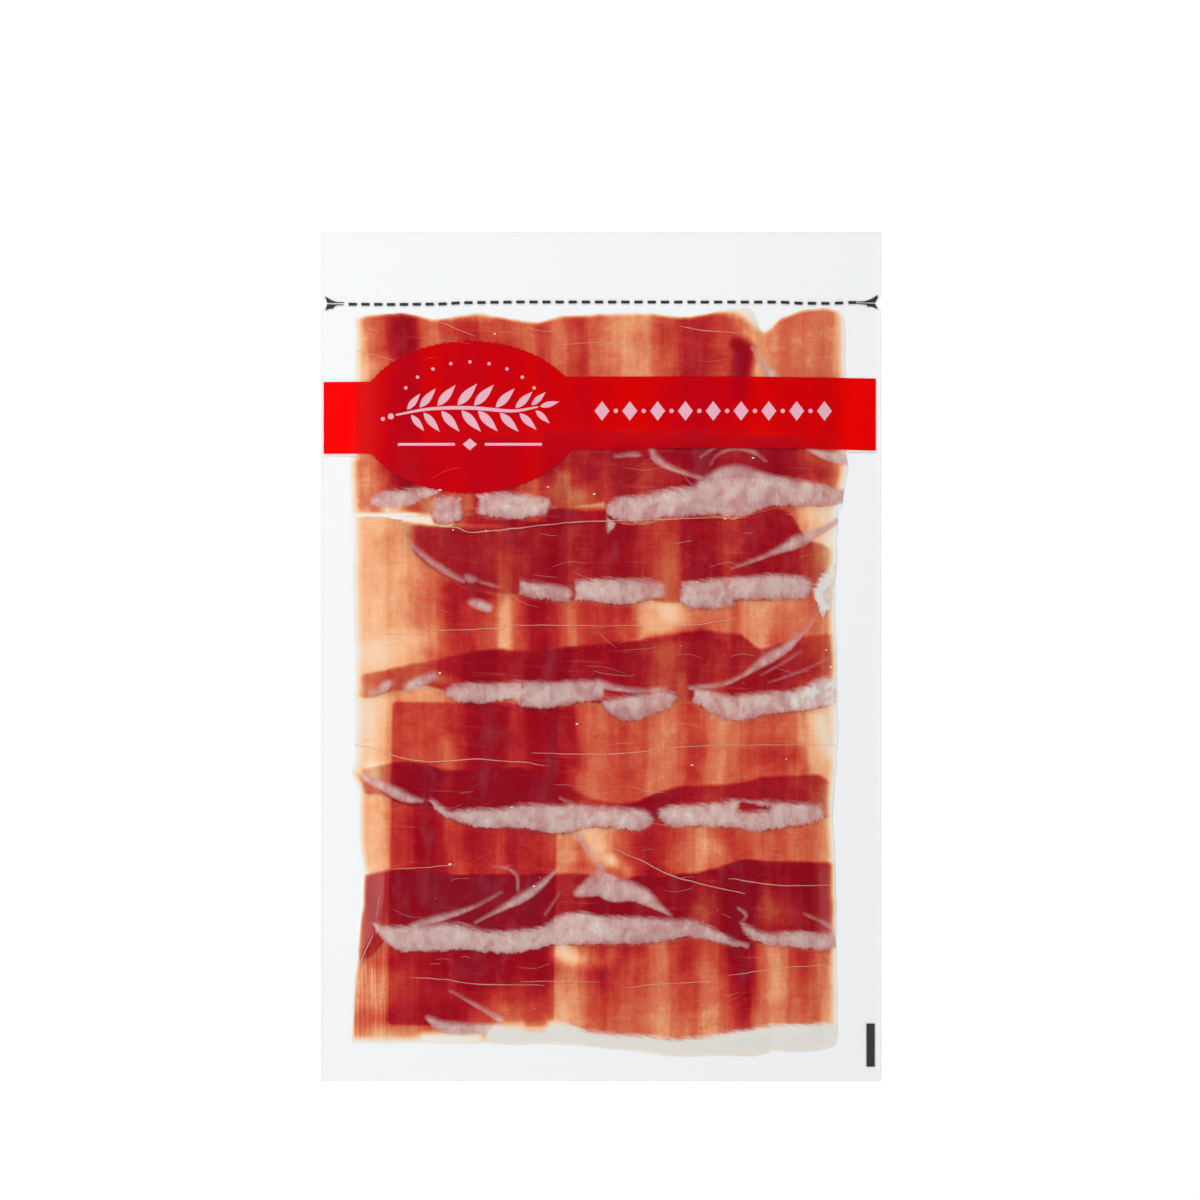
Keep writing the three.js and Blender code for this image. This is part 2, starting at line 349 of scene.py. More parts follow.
             (0.35, "vein", [(768, 683, 0.4), (800, 672, 0.8),
                             (834, 656, 0.6)]),
             (0.30, "vein", [(760, 676, 0.4), (785, 662, 1.2),
                             (800, 652, 0.5)])],
        shade=[(0.40, 8, [(726, 690, 2), (752, 682, 7), (785, 672, 10),
                          (812, 668, 6)]),
               (-0.25, 10, [(432, 610, 5), (438, 645, 5)]),
               (-0.8, 6, [(438, 678, 4), (458, 682, 3)]),
               (-0.20, 8, [(506, 606, 4), (504, 645, 6)]),
               (0.40, 9, [(470, 593, 5), (496, 598, 5)]),
               (-1.2, 4, [(602, 694, 2.5), (622, 697, 2.5)]),
               (-0.15, 7, [(822, 554, 6), (826, 572, 4)]),
               (0.15, 10, [(386, 540, 8), (390, 556, 6)]),
               (0.32, 10, [(449, 590, 8), (454, 614, 6)]),
               (0.25, 10, [(778, 640, 8)]),
               (-0.7, 6, [(682, 676, 4), (683, 700, 6)]),
               (-0.22, 9, [(668, 608, 9), (688, 620, 6)]),
               (0.35, 8, [(626, 612, 5), (632, 634, 5)]),
               (-0.4, 12, [(836, 590, 6), (839, 620, 3)]),
               (-0.45, 8, [(828, 694, 4), (838, 705, 6)]),
               (0.45, 7, [(733, 700, 2), (737, 560, 2)]),
               (-0.25, 16, [(375, 655, 14), (415, 640, 8)]),
               (0.30, 8, [(414, 536, 4), (430, 535, 8)]),
               (0.5, 8, [(652, 640, 4), (700, 632, 4)])],
    ),
    dict(
        name="ham_row_4",
        left_soft=11,
        top=[(350, 677), (380, 671), (400, 666), (440, 658), (460, 652),
             (500, 649), (540, 652), (560, 647), (600, 643), (640, 640),
             (660, 635), (700, 630), (740, 633), (760, 650), (800, 636),
             (836, 633)],
        lip=[(350, 788), (366, 795), (374, 794), (382, 794), (392, 800),
             (405, 804), (425, 805), (450, 814),
             (480, 822), (575, 828), (650, 818), (660, 818), (740, 822),
             (836, 818)],
        left=[(640, 355), (764, 355), (774, 350), (790, 360), (800, 364)],
        right=[(620, 836), (740, 838), (820, 832)],
        slices=[(340, 0.52), (377, 0.66), (387, 0.82), (408, 0.78), (438, 0.78), (448,
                 0.92), (458, 1.08), (467, 1.50), (477, 1.85), (497,
                 1.50), (508, 1.15), (527, 1.45), (538, 1.60), (548,
                 2.05), (567, 1.65), (577, 1.22), (587, 1.14), (608,
                 1.30), (618, 1.45), (628, 1.33), (648, 1.06), (658,
                 0.94), (668, 1.03), (678, 1.22), (687, 1.50), (698,
                 1.33), (707, 0.97), (718, 0.88), (728, 1.10), (738,
                 1.22), (768, 1.28), (788, 1.08), (798, 0.80), (808,
                 0.60)],
        fat=[(0.50, "vein", [(364, 778, 3), (374, 782, 4.5), (386, 787, 5.4),
                             (398, 794, 6), (410, 799, 4.4), (422, 801, 2)]),
             (0.45, "rim", [(431, 800, 1.6), (438, 807, 3.4), (448, 814, 5)]),
             (0.58, "rim", [(453, 815, 5), (470, 817, 8.5), (490, 818, 10),
                            (510, 817, 10.5), (525, 816, 12.5), (545, 818, 14),
                            (565, 819, 15), (580, 816, 13), (600, 817, 11),
                            (620, 818, 11), (638, 820, 11), (647, 819, 7)]),
             (0.62, "rim", [(665, 814, 7), (674, 816, 11), (690, 815, 11),
                            (710, 815, 12), (735, 813.5, 14), (755, 816, 16),
                            (775, 814.5, 14), (800, 814.5, 12),
                            (816, 812, 9)]),
             (0.40, "vein", [(520, 803, 1), (540, 811, 2), (560, 812, 2)]),
             (0.40, "vein", [(560, 798, 0.6), (580, 806, 1.5),
                             (600, 812, 2)])],
        hole=[[(743, 806.5, 4.6), (753, 807.5, 3.6), (768, 808, 0.6)]],
        shade=[(0.45, 3, [(353, 775, 3), (360, 784, 6), (370, 792, 3)]),
               (-0.36, 10, [(370, 771, 6), (386, 773, 6)]),
               (-0.25, 10, [(448, 745, 5), (452, 785, 7)]),
               (-0.35, 12, [(820, 720, 6), (832, 750, 6), (838, 690, 6)]),
               (0.3, 10, [(570, 715, 4), (580, 760, 3)]),
               (-0.2, 12, [(375, 705, 12), (370, 745, 8)]),
               (0.3, 14, [(755, 755, 12), (780, 762, 10)]),
               (0.5, 8, [(798, 752, 5), (802, 770, 6)]),
               (0.5, 6, [(655, 808, 4), (656, 826, 3)])],
    ),
    dict(
        name="ham_row_5",
        left_soft=7,
        top=[(350, 770), (390, 763), (410, 761), (430, 765), (440, 770),
             (480, 770), (520, 767), (560, 780), (585, 796), (620, 804),
             (640, 800), (660, 792), (680, 786), (740, 783), (760, 777),
             (790, 774), (820, 775), (832, 782)],
        lip=[(350, 962), (372, 958), (384, 940), (460, 944), (560, 938),
             (700, 930), (752, 936), (836, 944)],
        left=[(750, 359), (850, 360), (872, 364), (900, 362), (940, 360),
              (965, 359)],
        right=[(750, 832), (800, 831), (860, 835), (960, 836)],
        slices=[(340, 0.57), (377, 0.68), (387, 0.92), (407, 1.10), (417, 1.58), (437,
                 1.32), (447, 0.90), (467, 1.10), (487, 1.00), (497,
                 0.85), (508, 1.20), (518, 1.08), (548, 0.82), (558,
                 0.90), (567, 0.84), (577, 0.74), (588, 0.66), (598,
                 0.72), (608, 0.95), (617, 1.30), (627, 1.52), (637,
                 1.70), (647, 1.86), (658, 1.72), (667, 1.48), (677,
                 1.30), (687, 1.10), (697, 0.93), (708, 1.06), (718,
                 1.18), (728, 1.42), (738, 1.34), (748, 1.21), (768,
                 1.25), (788, 1.10), (800, 1.18), (818, 0.85)],
        fat=[(0.62, "rim", [(374, 923, 2), (384, 931, 6), (400, 938, 12.5),
                            (420, 938, 13.5), (440, 937, 14), (460, 936, 13.5),
                            (480, 940, 11), (500, 942, 11.5), (515, 941, 12)]),
             (0.68, "rim", [(515, 941, 12), (535, 938, 11), (552, 934, 12),
                            (570, 929, 16.5), (600, 929, 15.5)]),
             (0.42, "rim", [(600, 929, 15.5), (620, 930, 14.5), (640, 930, 14),
                            (660, 930, 12), (680, 928, 10), (700, 929.5, 8.5),
                            (718, 936.5, 6), (735, 943, 4), (748, 946, 2)]),
             (0.48, "rim", [(741, 922, 1.2), (750, 932, 6), (765, 938, 6),
                            (785, 939, 7.5), (810, 940, 9.5),
                            (834, 941, 9)]),
             (0.42, "vein", [(476, 922, 0.8), (495, 912, 2), (510, 904, 3.8),
                             (525, 896, 5), (540, 886, 3.6), (552, 875, 2),
                             (561, 867, 0.8)]),
             (0.36, "vein", [(414, 925, 3), (436, 919, 4), (455, 913.5, 3),
                             (478, 905, 1.8), (502, 892, 0.8)]),
             (0.45, "vein", [(576, 830, 5), (584, 844, 3.2), (595, 857, 2.2),
                             (600, 866, 3), (600, 874, 6), (597, 886, 10)]),
             (0.40, "vein", [(577, 893, 4), (590, 888, 9), (600, 884, 12),
                             (614, 889, 13), (630, 891, 10), (645, 897, 8),
                             (659, 907, 4), (671, 915, 1.2)]),
             (0.35, "vein", [(494, 867, 0.8), (508, 869, 1.2), (517, 877, 1.4),
                             (518, 891, 0.8)]),
             (0.40, "vein", [(804, 914, 0.8), (818, 920, 1.8),
                             (831, 927, 2.4)]),
             (0.40, "vein", [(560, 893, 0.5), (552, 905, 1), (545, 915, 0.5)]),
             (0.35, "vein", [(738, 908, 1.2), (746, 915, 1.5),
                             (742, 922, 0.8)])],
        shade=[(0.25, 7, [(368, 885, 4), (374, 925, 5), (367, 955, 4)]),
               (-0.15, 9, [(590, 832, 8), (600, 846, 8)]),
               (0.45, 9, [(580, 868, 6), (596, 870, 5), (618, 872, 4)]),
               (0.30, 8, [(578, 846, 4), (584, 860, 4)]),
               (-0.45, 9, [(676, 907, 5), (702, 915, 6)]),
               (-0.55, 9, [(762, 886, 7), (768, 912, 8)]),
               (-0.40, 8, [(790, 896, 5), (794, 914, 5)]),
               (-0.70, 20, [(664, 890, 8), (700, 900, 13),
                            (745, 906, 13), (795, 914, 8)]),
               (-0.60, 8, [(612, 862, 5), (626, 871, 4)]),
               (0.4, 8, [(690, 880, 4), (650, 872, 3)]),
               (-0.2, 12, [(705, 850, 12)])],
    ),
    dict(
        name="ham_row_6",
        left_soft=3.0,
        fade=0.0055,
        fade_at=990,
        top=[(350, 872), (366, 875), (400, 868), (460, 875), (520, 875),
             (575, 873), (590, 874), (598, 880), (607, 885), (622, 879),
             (640, 876), (658, 876), (690, 873), (720, 867),
             (740, 860), (836, 862)],
        lip=[(345, 1042), (400, 1042), (490, 1043), (560, 1040), (680, 1048),
             (760, 1044), (820, 1044), (838, 1038)],
        left=[(860, 365), (900, 363), (940, 359.5), (980, 355.5), (1042, 352)],
        right=[(860, 835), (1000, 837), (1030, 838), (1045, 836)],
        slices=[(340, 0.86), (387, 0.90), (397, 1.00), (408, 0.98), (418, 1.08), (427,
                 1.20), (457, 1.38), (467, 1.48), (487, 1.30), (497,
                 1.05), (517, 1.00), (527, 1.18), (547, 0.80), (567,
                 0.88), (577, 1.09), (587, 1.50), (597, 1.72), (607,
                 1.50), (617, 1.34), (638, 1.34), (648, 1.07), (658,
                 0.98), (668, 1.22), (678, 1.40), (697, 1.05), (719,
                 1.45), (729, 1.95), (738, 2.15), (748, 1.70), (757,
                 1.10), (767, 0.92), (787, 1.20), (797, 1.48), (808,
                 1.28), (817, 0.87)],
        fat=[(0.50, "vein", [(428, 1018, 2.5), (440, 1026, 6), (458, 1029, 7),
                             (476, 1029, 6), (492, 1030, 6)]),
             (0.40, "vein", [(450, 991, 0.8), (475, 1005, 2),
                             (500, 1019, 3.5)]),
             (1.90, "rim", [(494, 1034, 10), (515, 1036, 9), (540, 1037, 6),
                            (560, 1033, 11), (585, 1038, 8), (610, 1041, 8),
                            (640, 1043, 8), (670, 1047, 9), (700, 1046, 10),
                            (730, 1044, 12), (755, 1042, 14), (770, 1038, 13),
                            (800, 1038, 14), (825, 1036, 13),
                            (834, 1033, 9)])],
        shade=[(0.45, 16, [(470, 968, 12), (545, 965, 14)]),
               (-0.25, 14, [(482, 1018, 14), (545, 1014, 14)]),
               (0.40, 14, [(395, 1016, 10), (450, 1014, 12)]),
               (0.30, 10, [(362, 958, 6), (384, 962, 6)]),
               (0.35, 10, [(360, 1018, 6), (384, 1020, 6)]),
               (-0.75, 12, [(560, 952, 8), (602, 954, 10)]),
               (-0.25, 12, [(770, 950, 8), (776, 990, 8)]),
               (-0.20, 12, [(656, 945, 8), (656, 965, 8)]),
               (-0.25, 10, [(490, 990, 8), (500, 1006, 6)]),
               (0.25, 8, [(553, 1002, 4), (556, 1014, 4)]),
               (0.40, 9, [(575, 948, 5), (600, 950, 5)]),
               (-0.9, 8, [(425, 1038, 3), (475, 1037, 4)]),
               (0.25, 10, [(362, 1000, 6), (362, 1030, 6)]),
               (-0.35, 10, [(486, 1030, 6), (550, 1028, 5)])],
    ),
]

# Creases of the film: (half width, strength, knots of x, y).
# Pale ridges laid along these creases carry a painted highlight of the folds.
CREASES = [
    (0.55, [(380, 522), (450, 527), (470, 532), (500, 530), (545, 525),
            (600, 521), (720, 518)]),
    (0.45, [(425, 626), (435, 630), (500, 628), (510, 625), (600, 626)]),
    (0.35, [(385, 634), (420, 634)]),
    (0.50, [(355, 745), (380, 750), (400, 757), (432, 762), (475, 759),
            (520, 762), (545, 765)]),
    (0.50, [(532, 753), (600, 754), (640, 752), (660, 748)]),
    (0.35, [(388, 869), (430, 867), (455, 864)]),
    (0.55, [(612, 848), (640, 860), (660, 870), (680, 878), (720, 888),
            (745, 893)]),
    (0.50, [(728, 878), (750, 881), (785, 885), (832, 885)]),
    (0.45, [(410, 977), (450, 980), (480, 984), (545, 985)]),
    (0.35, [(520, 981), (600, 982)]),
    (0.40, [(625, 988), (660, 984), (715, 981)]),
    (0.40, [(728, 975), (760, 971), (790, 967), (832, 965)]),
    (0.45, [(600, 342), (640, 348)]),
    (0.40, [(680, 326), (700, 330), (738, 333)]),
    (0.35, [(435, 320), (475, 337)]),
    (0.35, [(355, 350), (395, 360)]),
    (0.50, [(360, 965), (366, 950), (373, 935)]),
    (0.35, [(380, 895), (376, 920)]),
    (0.35, [(660, 748), (720, 745), (836, 745)]),
    (0.30, [(556, 345), (600, 342)]),
    (0.35, [(600, 626), (690, 625), (740, 618)]),
]
GLINTS = [(495, 334), (440, 673), (692, 765), (786, 759), (577, 724),
          (826, 650), (831, 667), (753, 458), (440, 490), (453, 530),
          (594, 494), (668, 923), (512, 807), (534, 886), (450, 864),
          (541, 927), (725, 519), (548, 487), (697, 582), (486, 531)]

# The label behind the meat.
LABEL = (473.0, 864.5, 83.0, 161.5, math.radians(0.9))  # centre, halves, turn


# ------------------------------------------------------------ fields of a row
def label_field():
    cx, cy, hw, hh, turn = LABEL
    dx, dy = X - cx, Y - cy
    u = dx * math.cos(turn) + dy * math.sin(turn)
    v = -dx * math.sin(turn) + dy * math.cos(turn)
    qx, qy = np.abs(u) - hw + 5, np.abs(v) - hh + 5
    d = np.hypot(np.maximum(qx, 0), np.maximum(qy, 0)) + np.minimum(
        np.maximum(qx, qy), 0
    )
    return 5 - d  # positive inside


label_inside = label_field()


def build_row(k, row):
    rim = np.full(SHAPE, -FAR)
    fat = np.full(SHAPE, -FAR)
    tone = np.full(SHAPE, 0.5)
    near = np.full(SHAPE, -FAR)
    thin = np.zeros(SHAPE)
    for t, kind, knots in row["fat"]:
        win, d = stroke(knots)
        if kind == "block":
            ends = np.minimum(X[win] - knots[0][0], knots[-1][0] - X[win])
            ends += 5.0 * (noise(X[win], Y[win], 151 + k, 7, 5) - 0.5)
            d = np.minimum(d, 1.1 * (ends + 2.0))
        fat[win] = np.maximum(fat[win], d)
        better = d > near[win]
        thin[win] = np.where(better, float(kind == "vein"), thin[win])
        tone[win] = np.where(better, t, tone[win])
        near[win] = np.maximum(near[win], d)
        if kind != "vein":
            rim[win] = np.maximum(rim[win], d)
    for knots in row.get("hole", []):
        win, d = stroke(knots)
        fat[win] = np.minimum(fat[win], -d)
    tone = blur(tone, 4.0)
    thin = blur(thin, 2.0)
    up = smooth(-0.45, 0.45, np.gradient(blur(fat, 1.5), axis=0))

    # The lip: ragged, and pushed down wherever a rim of fat reaches lower.
    xs = np.arange(X0 - 2, X1 + 3, 0.5)
    lip = along(row["lip"], xs, 4.0)
    lip += 1.0 * (noise(xs, 0 * xs, 31 + k, 23) - 0.5)
    lowest = np.where(rim > 0, Y, -1.0).max(0)
    lowest = np.interp(xs, GX, lowest)
    rag = (
        2.6 * (noise(xs, 0 * xs, 41 + k, 6.5) - 0.5)
        + 2.2 * (noise(xs, 0 * xs, 51 + k, 2.6) - 0.5)
        + 5.0 * (noise(xs, 0 * xs, 61 + k, 19) - 0.5) * (noise(xs, 0 * xs, 62 + k, 4))
    )
    lip = np.where(lowest > lip - 2, np.maximum(lowest, lip - 1.0), lip)
    seen_lip = blur(lip, 0.9)  # where the slice seems to end
    lip = blur(seen_lip + (3.2 if k < 5 else 0.8) + 0.3 * rag, 1.6)  # where its thin edge ends
    top = along(row["top"], xs, 3.0)
    top += 1.2 * (noise(xs, 0 * xs, 71 + k, 9) - 0.5)
    left = along(row["left"], GY, 3.0) + 1.6 * (noise(GY, 0 * GY, 81 + k, 14) - 0.5)
    right = along(row["right"], GY, 3.0) + 1.6 * (noise(GY, 0 * GY, 91 + k, 14) - 0.5)
    lip_at = np.interp(GX, xs, lip)[None, :]
    seen_lip_at = np.interp(GX, xs, seen_lip)[None, :]
    top_at = np.interp(GX, xs, top)[None, :]
    inside = np.minimum(
        np.minimum(lip_at - Y, Y - top_at),
        np.minimum(X - left[:, None], right[:, None] - X),
    )

    # Optical thickness, from the slices.
    xw = (
        X
        + 6.0 * (noise(X, Y, 101 + k, 300, 46) - 0.5)
        + 3.0 * (noise(X, Y, 111 + k, 40, 17) - 0.5)
    )
    thick = np.full(SHAPE, row["slices"][0][1])
    for i, ((_, t0), (a, t1)) in enumerate(zip(row["slices"], row["slices"][1:])):
        soft = 1.0 + 3.4 * float(noise(a, 5.0 * i, 121 + k, 3))
        lean = 0.03 * math.sin(3.1 * i + 1.7 * k) * (Y - 0.5 * (lip_at + top_at))
        thick += (t1 - t0) * 0.5 * (1 + np.tanh((xw + lean - a) / soft))
    thick *= row.get("gain", 1.0)
    thick *= 1 + row.get("fade", 0.0) * (row.get("fade_at", 0.0) - Y)
    for amount, soft, knots in row["shade"]:
        win, d = stroke(knots)
        thick[win] += amount * smooth(-soft, soft * 0.6, d)
    thick = np.maximum(thick, 0.12)
    row.update(
        fat_in=fat, tone_in=tone, thin=thin, up=up, xs=xs, lip_c=lip, top_c=top, left_c=left,
        right_c=right, inside=inside, thick=thick, from_lip=lip_at - Y,
        from_top=Y - top_at, from_seen=seen_lip_at - Y,
    )


for k, row in enumerate(ROWS):
    build_row(k, row)

# Colour depth seen from above through each row, and the stack of slabs.
Z_BASE = 0.05


def lapped(total):
    """Two layers of meat read a little lighter than the sum of both."""
    return 2.5 * np.tanh(total / 2.45)


over_label = 0.15 * smooth(-9.0, -1.0, label_inside)
below_top = over_label.copy()  # height of what lies under the next row
below_depth = np.zeros(SHAPE)
for k in reversed(range(len(ROWS))):
    row = ROWS[k]
    d = row["inside"]
    row["below_z"] = np.maximum(blur(grow(below_top, 2), 3.0), below_top + 0.01)
    sides = np.minimum(X - row["left_c"][:, None], row["right_c"][:, None] - X)
    glow = smooth(-1.0, 10.0, row["right_c"][:, None] - X)
    glow = glow * smooth(-1.0, row.get("left_soft", 10.0), X - row["left_c"][:, None])
    if k == 0:
        glow = glow * smooth(-1.5, 4.0, row["from_top"])
    own = row["thick"] * smooth(-1.8, 8.0 if k == 5 else 2.2, row["from_seen"]) * glow
    row["depth"] = np.maximum(own, lapped(own + below_depth))
    row["lap"] = np.clip(1.3 * below_depth / (own + below_depth + 0.25), 0, 1)
    slab = np.clip(0.80 + 0.33 * row["thick"], 0.8, 1.35)
    slab *= 1 + 0.08 * (noise(X, Y, 141 + k, 26, 60) - 0.5)
    ease = smooth(-0.5, 24, row["from_lip"]) ** 0.8 * smooth(-1, 22, row["from_top"])
    ease = ease * (0.04 + 0.96 * smooth(-1, 34, sides))
    row["slab"] = 0.03 + (slab - 0.03) * ease
    row["top_z"] = row["below_z"] + row["slab"]
    below_top = np.where(d > -1.5, row["top_z"], over_label)
    seen = smooth(-1.5, 3.0, row["from_top"])
    below_depth = row["thick"] * glow * seen * smooth(-2, 2, np.minimum(d + 3, 4))

# Painted shade: the meat over the label is darkened, standing in for the light that the label keeps from
# coming up through it.
label_painted_shade = 0.64 * smooth(-1.2, 1.2, label_inside)
for row in ROWS:
    d = row["depth"]
    row["depth"] = d + label_painted_shade * smooth(0.15, 0.6, d) * (1 - 0.4 * smooth(1.2, 2.1, d))

# What is on top at each place: height, depth, fat and tone over the whole pack.
ham_top = np.zeros(SHAPE)
seen_depth = np.zeros(SHAPE)
seen_fat = np.full(SHAPE, -FAR)
seen_tone = np.full(SHAPE, 0.5)
seen_lap, seen_thin, seen_up = np.zeros(SHAPE), np.zeros(SHAPE), np.zeros(SHAPE)
over = np.zeros(SHAPE)
for row in reversed(ROWS):
    on = row["inside"] > 0
    ham_top = np.where(on, np.maximum(ham_top, row["top_z"]), ham_top)
    seen_depth = np.where(on, row["depth"], seen_depth)
    seen_fat = np.where(on, row["fat_in"], seen_fat)
    seen_tone = np.where(on, row["tone_in"], seen_tone)
    seen_lap = np.where(on, row["lap"], seen_lap)
    seen_thin = np.where(on, row["thin"], seen_thin)
    seen_up = np.where(on, row["up"], seen_up)
    over = np.where(on, 1.0, over)
over = blur(over, 1.2)

# The film: tight over the meat, nearly flat in the margin.
border = np.minimum(
    np.minimum(X - PACK[0], PACK[1] - X), np.minimum(Y - PACK[2], PACK[3] - Y)
)
margin = 0.16 + 0.22 * noise(X, Y, 161, 70, 55) * smooth(2, 30, border)
tight = np.where(ham_top > 0, ham_top + Z_BASE + 0.08, 0.0)
tight = blur(grow(tight, 6), 4.5)
film_z = blur(np.maximum(margin, tight), 2.0) + 0.02
film_z = film_z * smooth(-0.5, 3, border) + 0.10 * (1 - smooth(-0.5, 3, border))


# -------------------------------------------------------------------- meshing
def place(x, y, z_mm):
    """Layout units and millimetres of height to metres."""
    return np.stack(
        [(np.asarray(x) - CX) * U, (CY - np.asarray(y)) * U, np.asarray(z_mm) / 1000],
        -1,
    )


def make(name, verts, faces, fields=None, material=None, body="root"):
    me = bpy.data.meshes.new(name)
    verts = np.asarray(verts, np.float32)
    loops = np.concatenate([np.asarray(f, np.int32).ravel() for f in faces])
    sizes = np.concatenate(
        [np.full(len(f), np.asarray(f).shape[1], np.int32) for f in faces]
    )
    me.vertices.add(len(verts))
    me.vertices.foreach_set("co", verts.ravel())
    me.loops.add(len(loops))
    me.loops.foreach_set("vertex_index", loops)
    me.polygons.add(len(sizes))
    me.polygons.foreach_set("loop_start", np.concatenate([[0], np.cumsum(sizes)[:-1]]))
    me.polygons.foreach_set("loop_total", sizes)
    me.update(calc_edges=True)
    me.validate()
    for key, values in (fields or {}).items():
        a = me.attributes.new(key, "FLOAT", "POINT")
        a.data.foreach_set("value", np.asarray(values, np.float32))
    me.polygons.foreach_set("use_smooth", np.ones(len(me.polygons), bool))
    ob = bpy.data.objects.new(name, me)
    bpy.context.scene.collection.objects.link(ob)
    if material:
        me.materials.append(material)
    if body:
        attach(ob, body)
    return ob


def grid_faces(nx, ny, first=0, flip=False):
    i, j = np.meshgrid(np.arange(nx - 1), np.arange(ny - 1), indexing="ij")
    a = first + i * ny + j
    q = np.stack([a, a + 1, a + ny + 1, a + ny], -1).reshape(-1, 4)
    return q[:, ::-1] if flip else q


def ring_of(nx, ny):
    """Border vertices of a grid, in order round it."""
    a = [j for j in range(ny)]
    a += [i * ny + ny - 1 for i in range(1, nx)]
    a += [(nx - 1) * ny + j for j in range(ny - 2, -1, -1)]
    a += [i * ny for i in range(nx - 2, 0, -1)]
    return np.array(a)


def filled(ring, inner):
    """Triangles over a ring of points with inner points. Returns points, faces."""
    n = len(ring)
    pts = [tuple(map(float, p)) for p in ring] + [tuple(map(float, p)) for p in inner]
    edges = [(i, (i + 1) % n) for i in range(n)]
    out = delaunay_2d_cdt(pts, edges, [], 1, 1e-6)
    return np.array([tuple(p) for p in out[0]]), np.array(
        [list(f) for f in out[2]], int
    ), out[3]


def row_mesh(k, row, step=1.65):
    xs, lip, top = row["xs"], row["lip_c"], row["top_c"]
    lo = float(row["left_c"].min()), float(row["right_c"].max())
    nx = int((lo[1] - lo[0]) / step) + 1
    ny = int(np.median(np.interp(GX, xs, lip) - np.interp(GX, xs, top)) / step) + 1
    u = np.linspace(0, 1, nx)[:, None]
    v = np.linspace(0, 1, ny)[None, :]
    v = 1 - (1 - v) ** 1.12
    nominal = lo[0] + (lo[1] - lo[0]) * u
    a, b = np.interp(nominal, xs, top), np.interp(nominal, xs, lip)
    y = a + (b - a) * v
    left, right = np.interp(y, GY, row["left_c"]), np.interp(y, GY, row["right_c"])
    x = left + (right - left) * u
    a, b = np.interp(x, xs, top), np.interp(x, xs, lip)
    y = a + (b - a) * v
    x, y = x.ravel(), y.ravel()
    z_top = Z_BASE + sample(row["top_z"], x, y)
    sources = {
        "depth": row["depth"], "fat": row["fat_in"], "tone": row["tone_in"],
        "lap": row["lap"], "thin": row["thin"], "up": row["up"],
    }
    ring = ring_of(nx, ny)
    rx, ry = x[ring], y[ring]
    # The underside has the same rim and a coarser middle.
    mask_x, mask_y = np.meshgrid(np.arange(lo[0], lo[1], 7.0), np.arange(Y0, Y1, 7.0))
    px, py = mask_x.ravel(), mask_y.ravel()
    keep = sample(row["inside"], px, py) > 3.0
    px, py = px[keep], py[keep]
    pts, tris, orig = filled(np.stack([rx, ry], -1), np.stack([px, py], -1))
    n_top = len(x)
    n_ring = len(ring)
    z_low = Z_BASE + sample(row["below_z"], pts[:, 0], pts[:, 1]) - 0.01
    verts = np.vstack(
        [place(x, y, z_top), place(pts[:, 0], pts[:, 1], z_low)]
    )
    # Look-up from ring position to the point that the triangulation gave it.
    where = np.full(n_ring, -1)
    for i, o in enumerate(orig):
        for p in o:
            if p < n_ring:
                where[p] = i
    nxt = np.roll(np.arange(n_ring), -1)
    wall = np.stack(
        [ring, n_top + where, n_top + where[nxt], ring[nxt]], -1
    )
    # Grid order makes the top face up when columns run right and lines run down.
    top_faces = grid_faces(nx, ny, 0, flip=False)
    low = tris + n_top
    fields_all = {
        key: np.concatenate([sample(a, x, y), sample(a, pts[:, 0], pts[:, 1])])
        for key, a in sources.items()
    }
    faces = [top_faces, wall[:, ::-1], low[:, ::-1]]
    return verts, faces, fields_all


def face_up(ob, check):
    """Turns all the faces to point outward. check is not used."""
    import bmesh

    bm = bmesh.new()
    bm.from_mesh(ob.data)
    bmesh.ops.recalc_face_normals(bm, faces=bm.faces)
    bm.to_mesh(ob.data)
    bm.free()


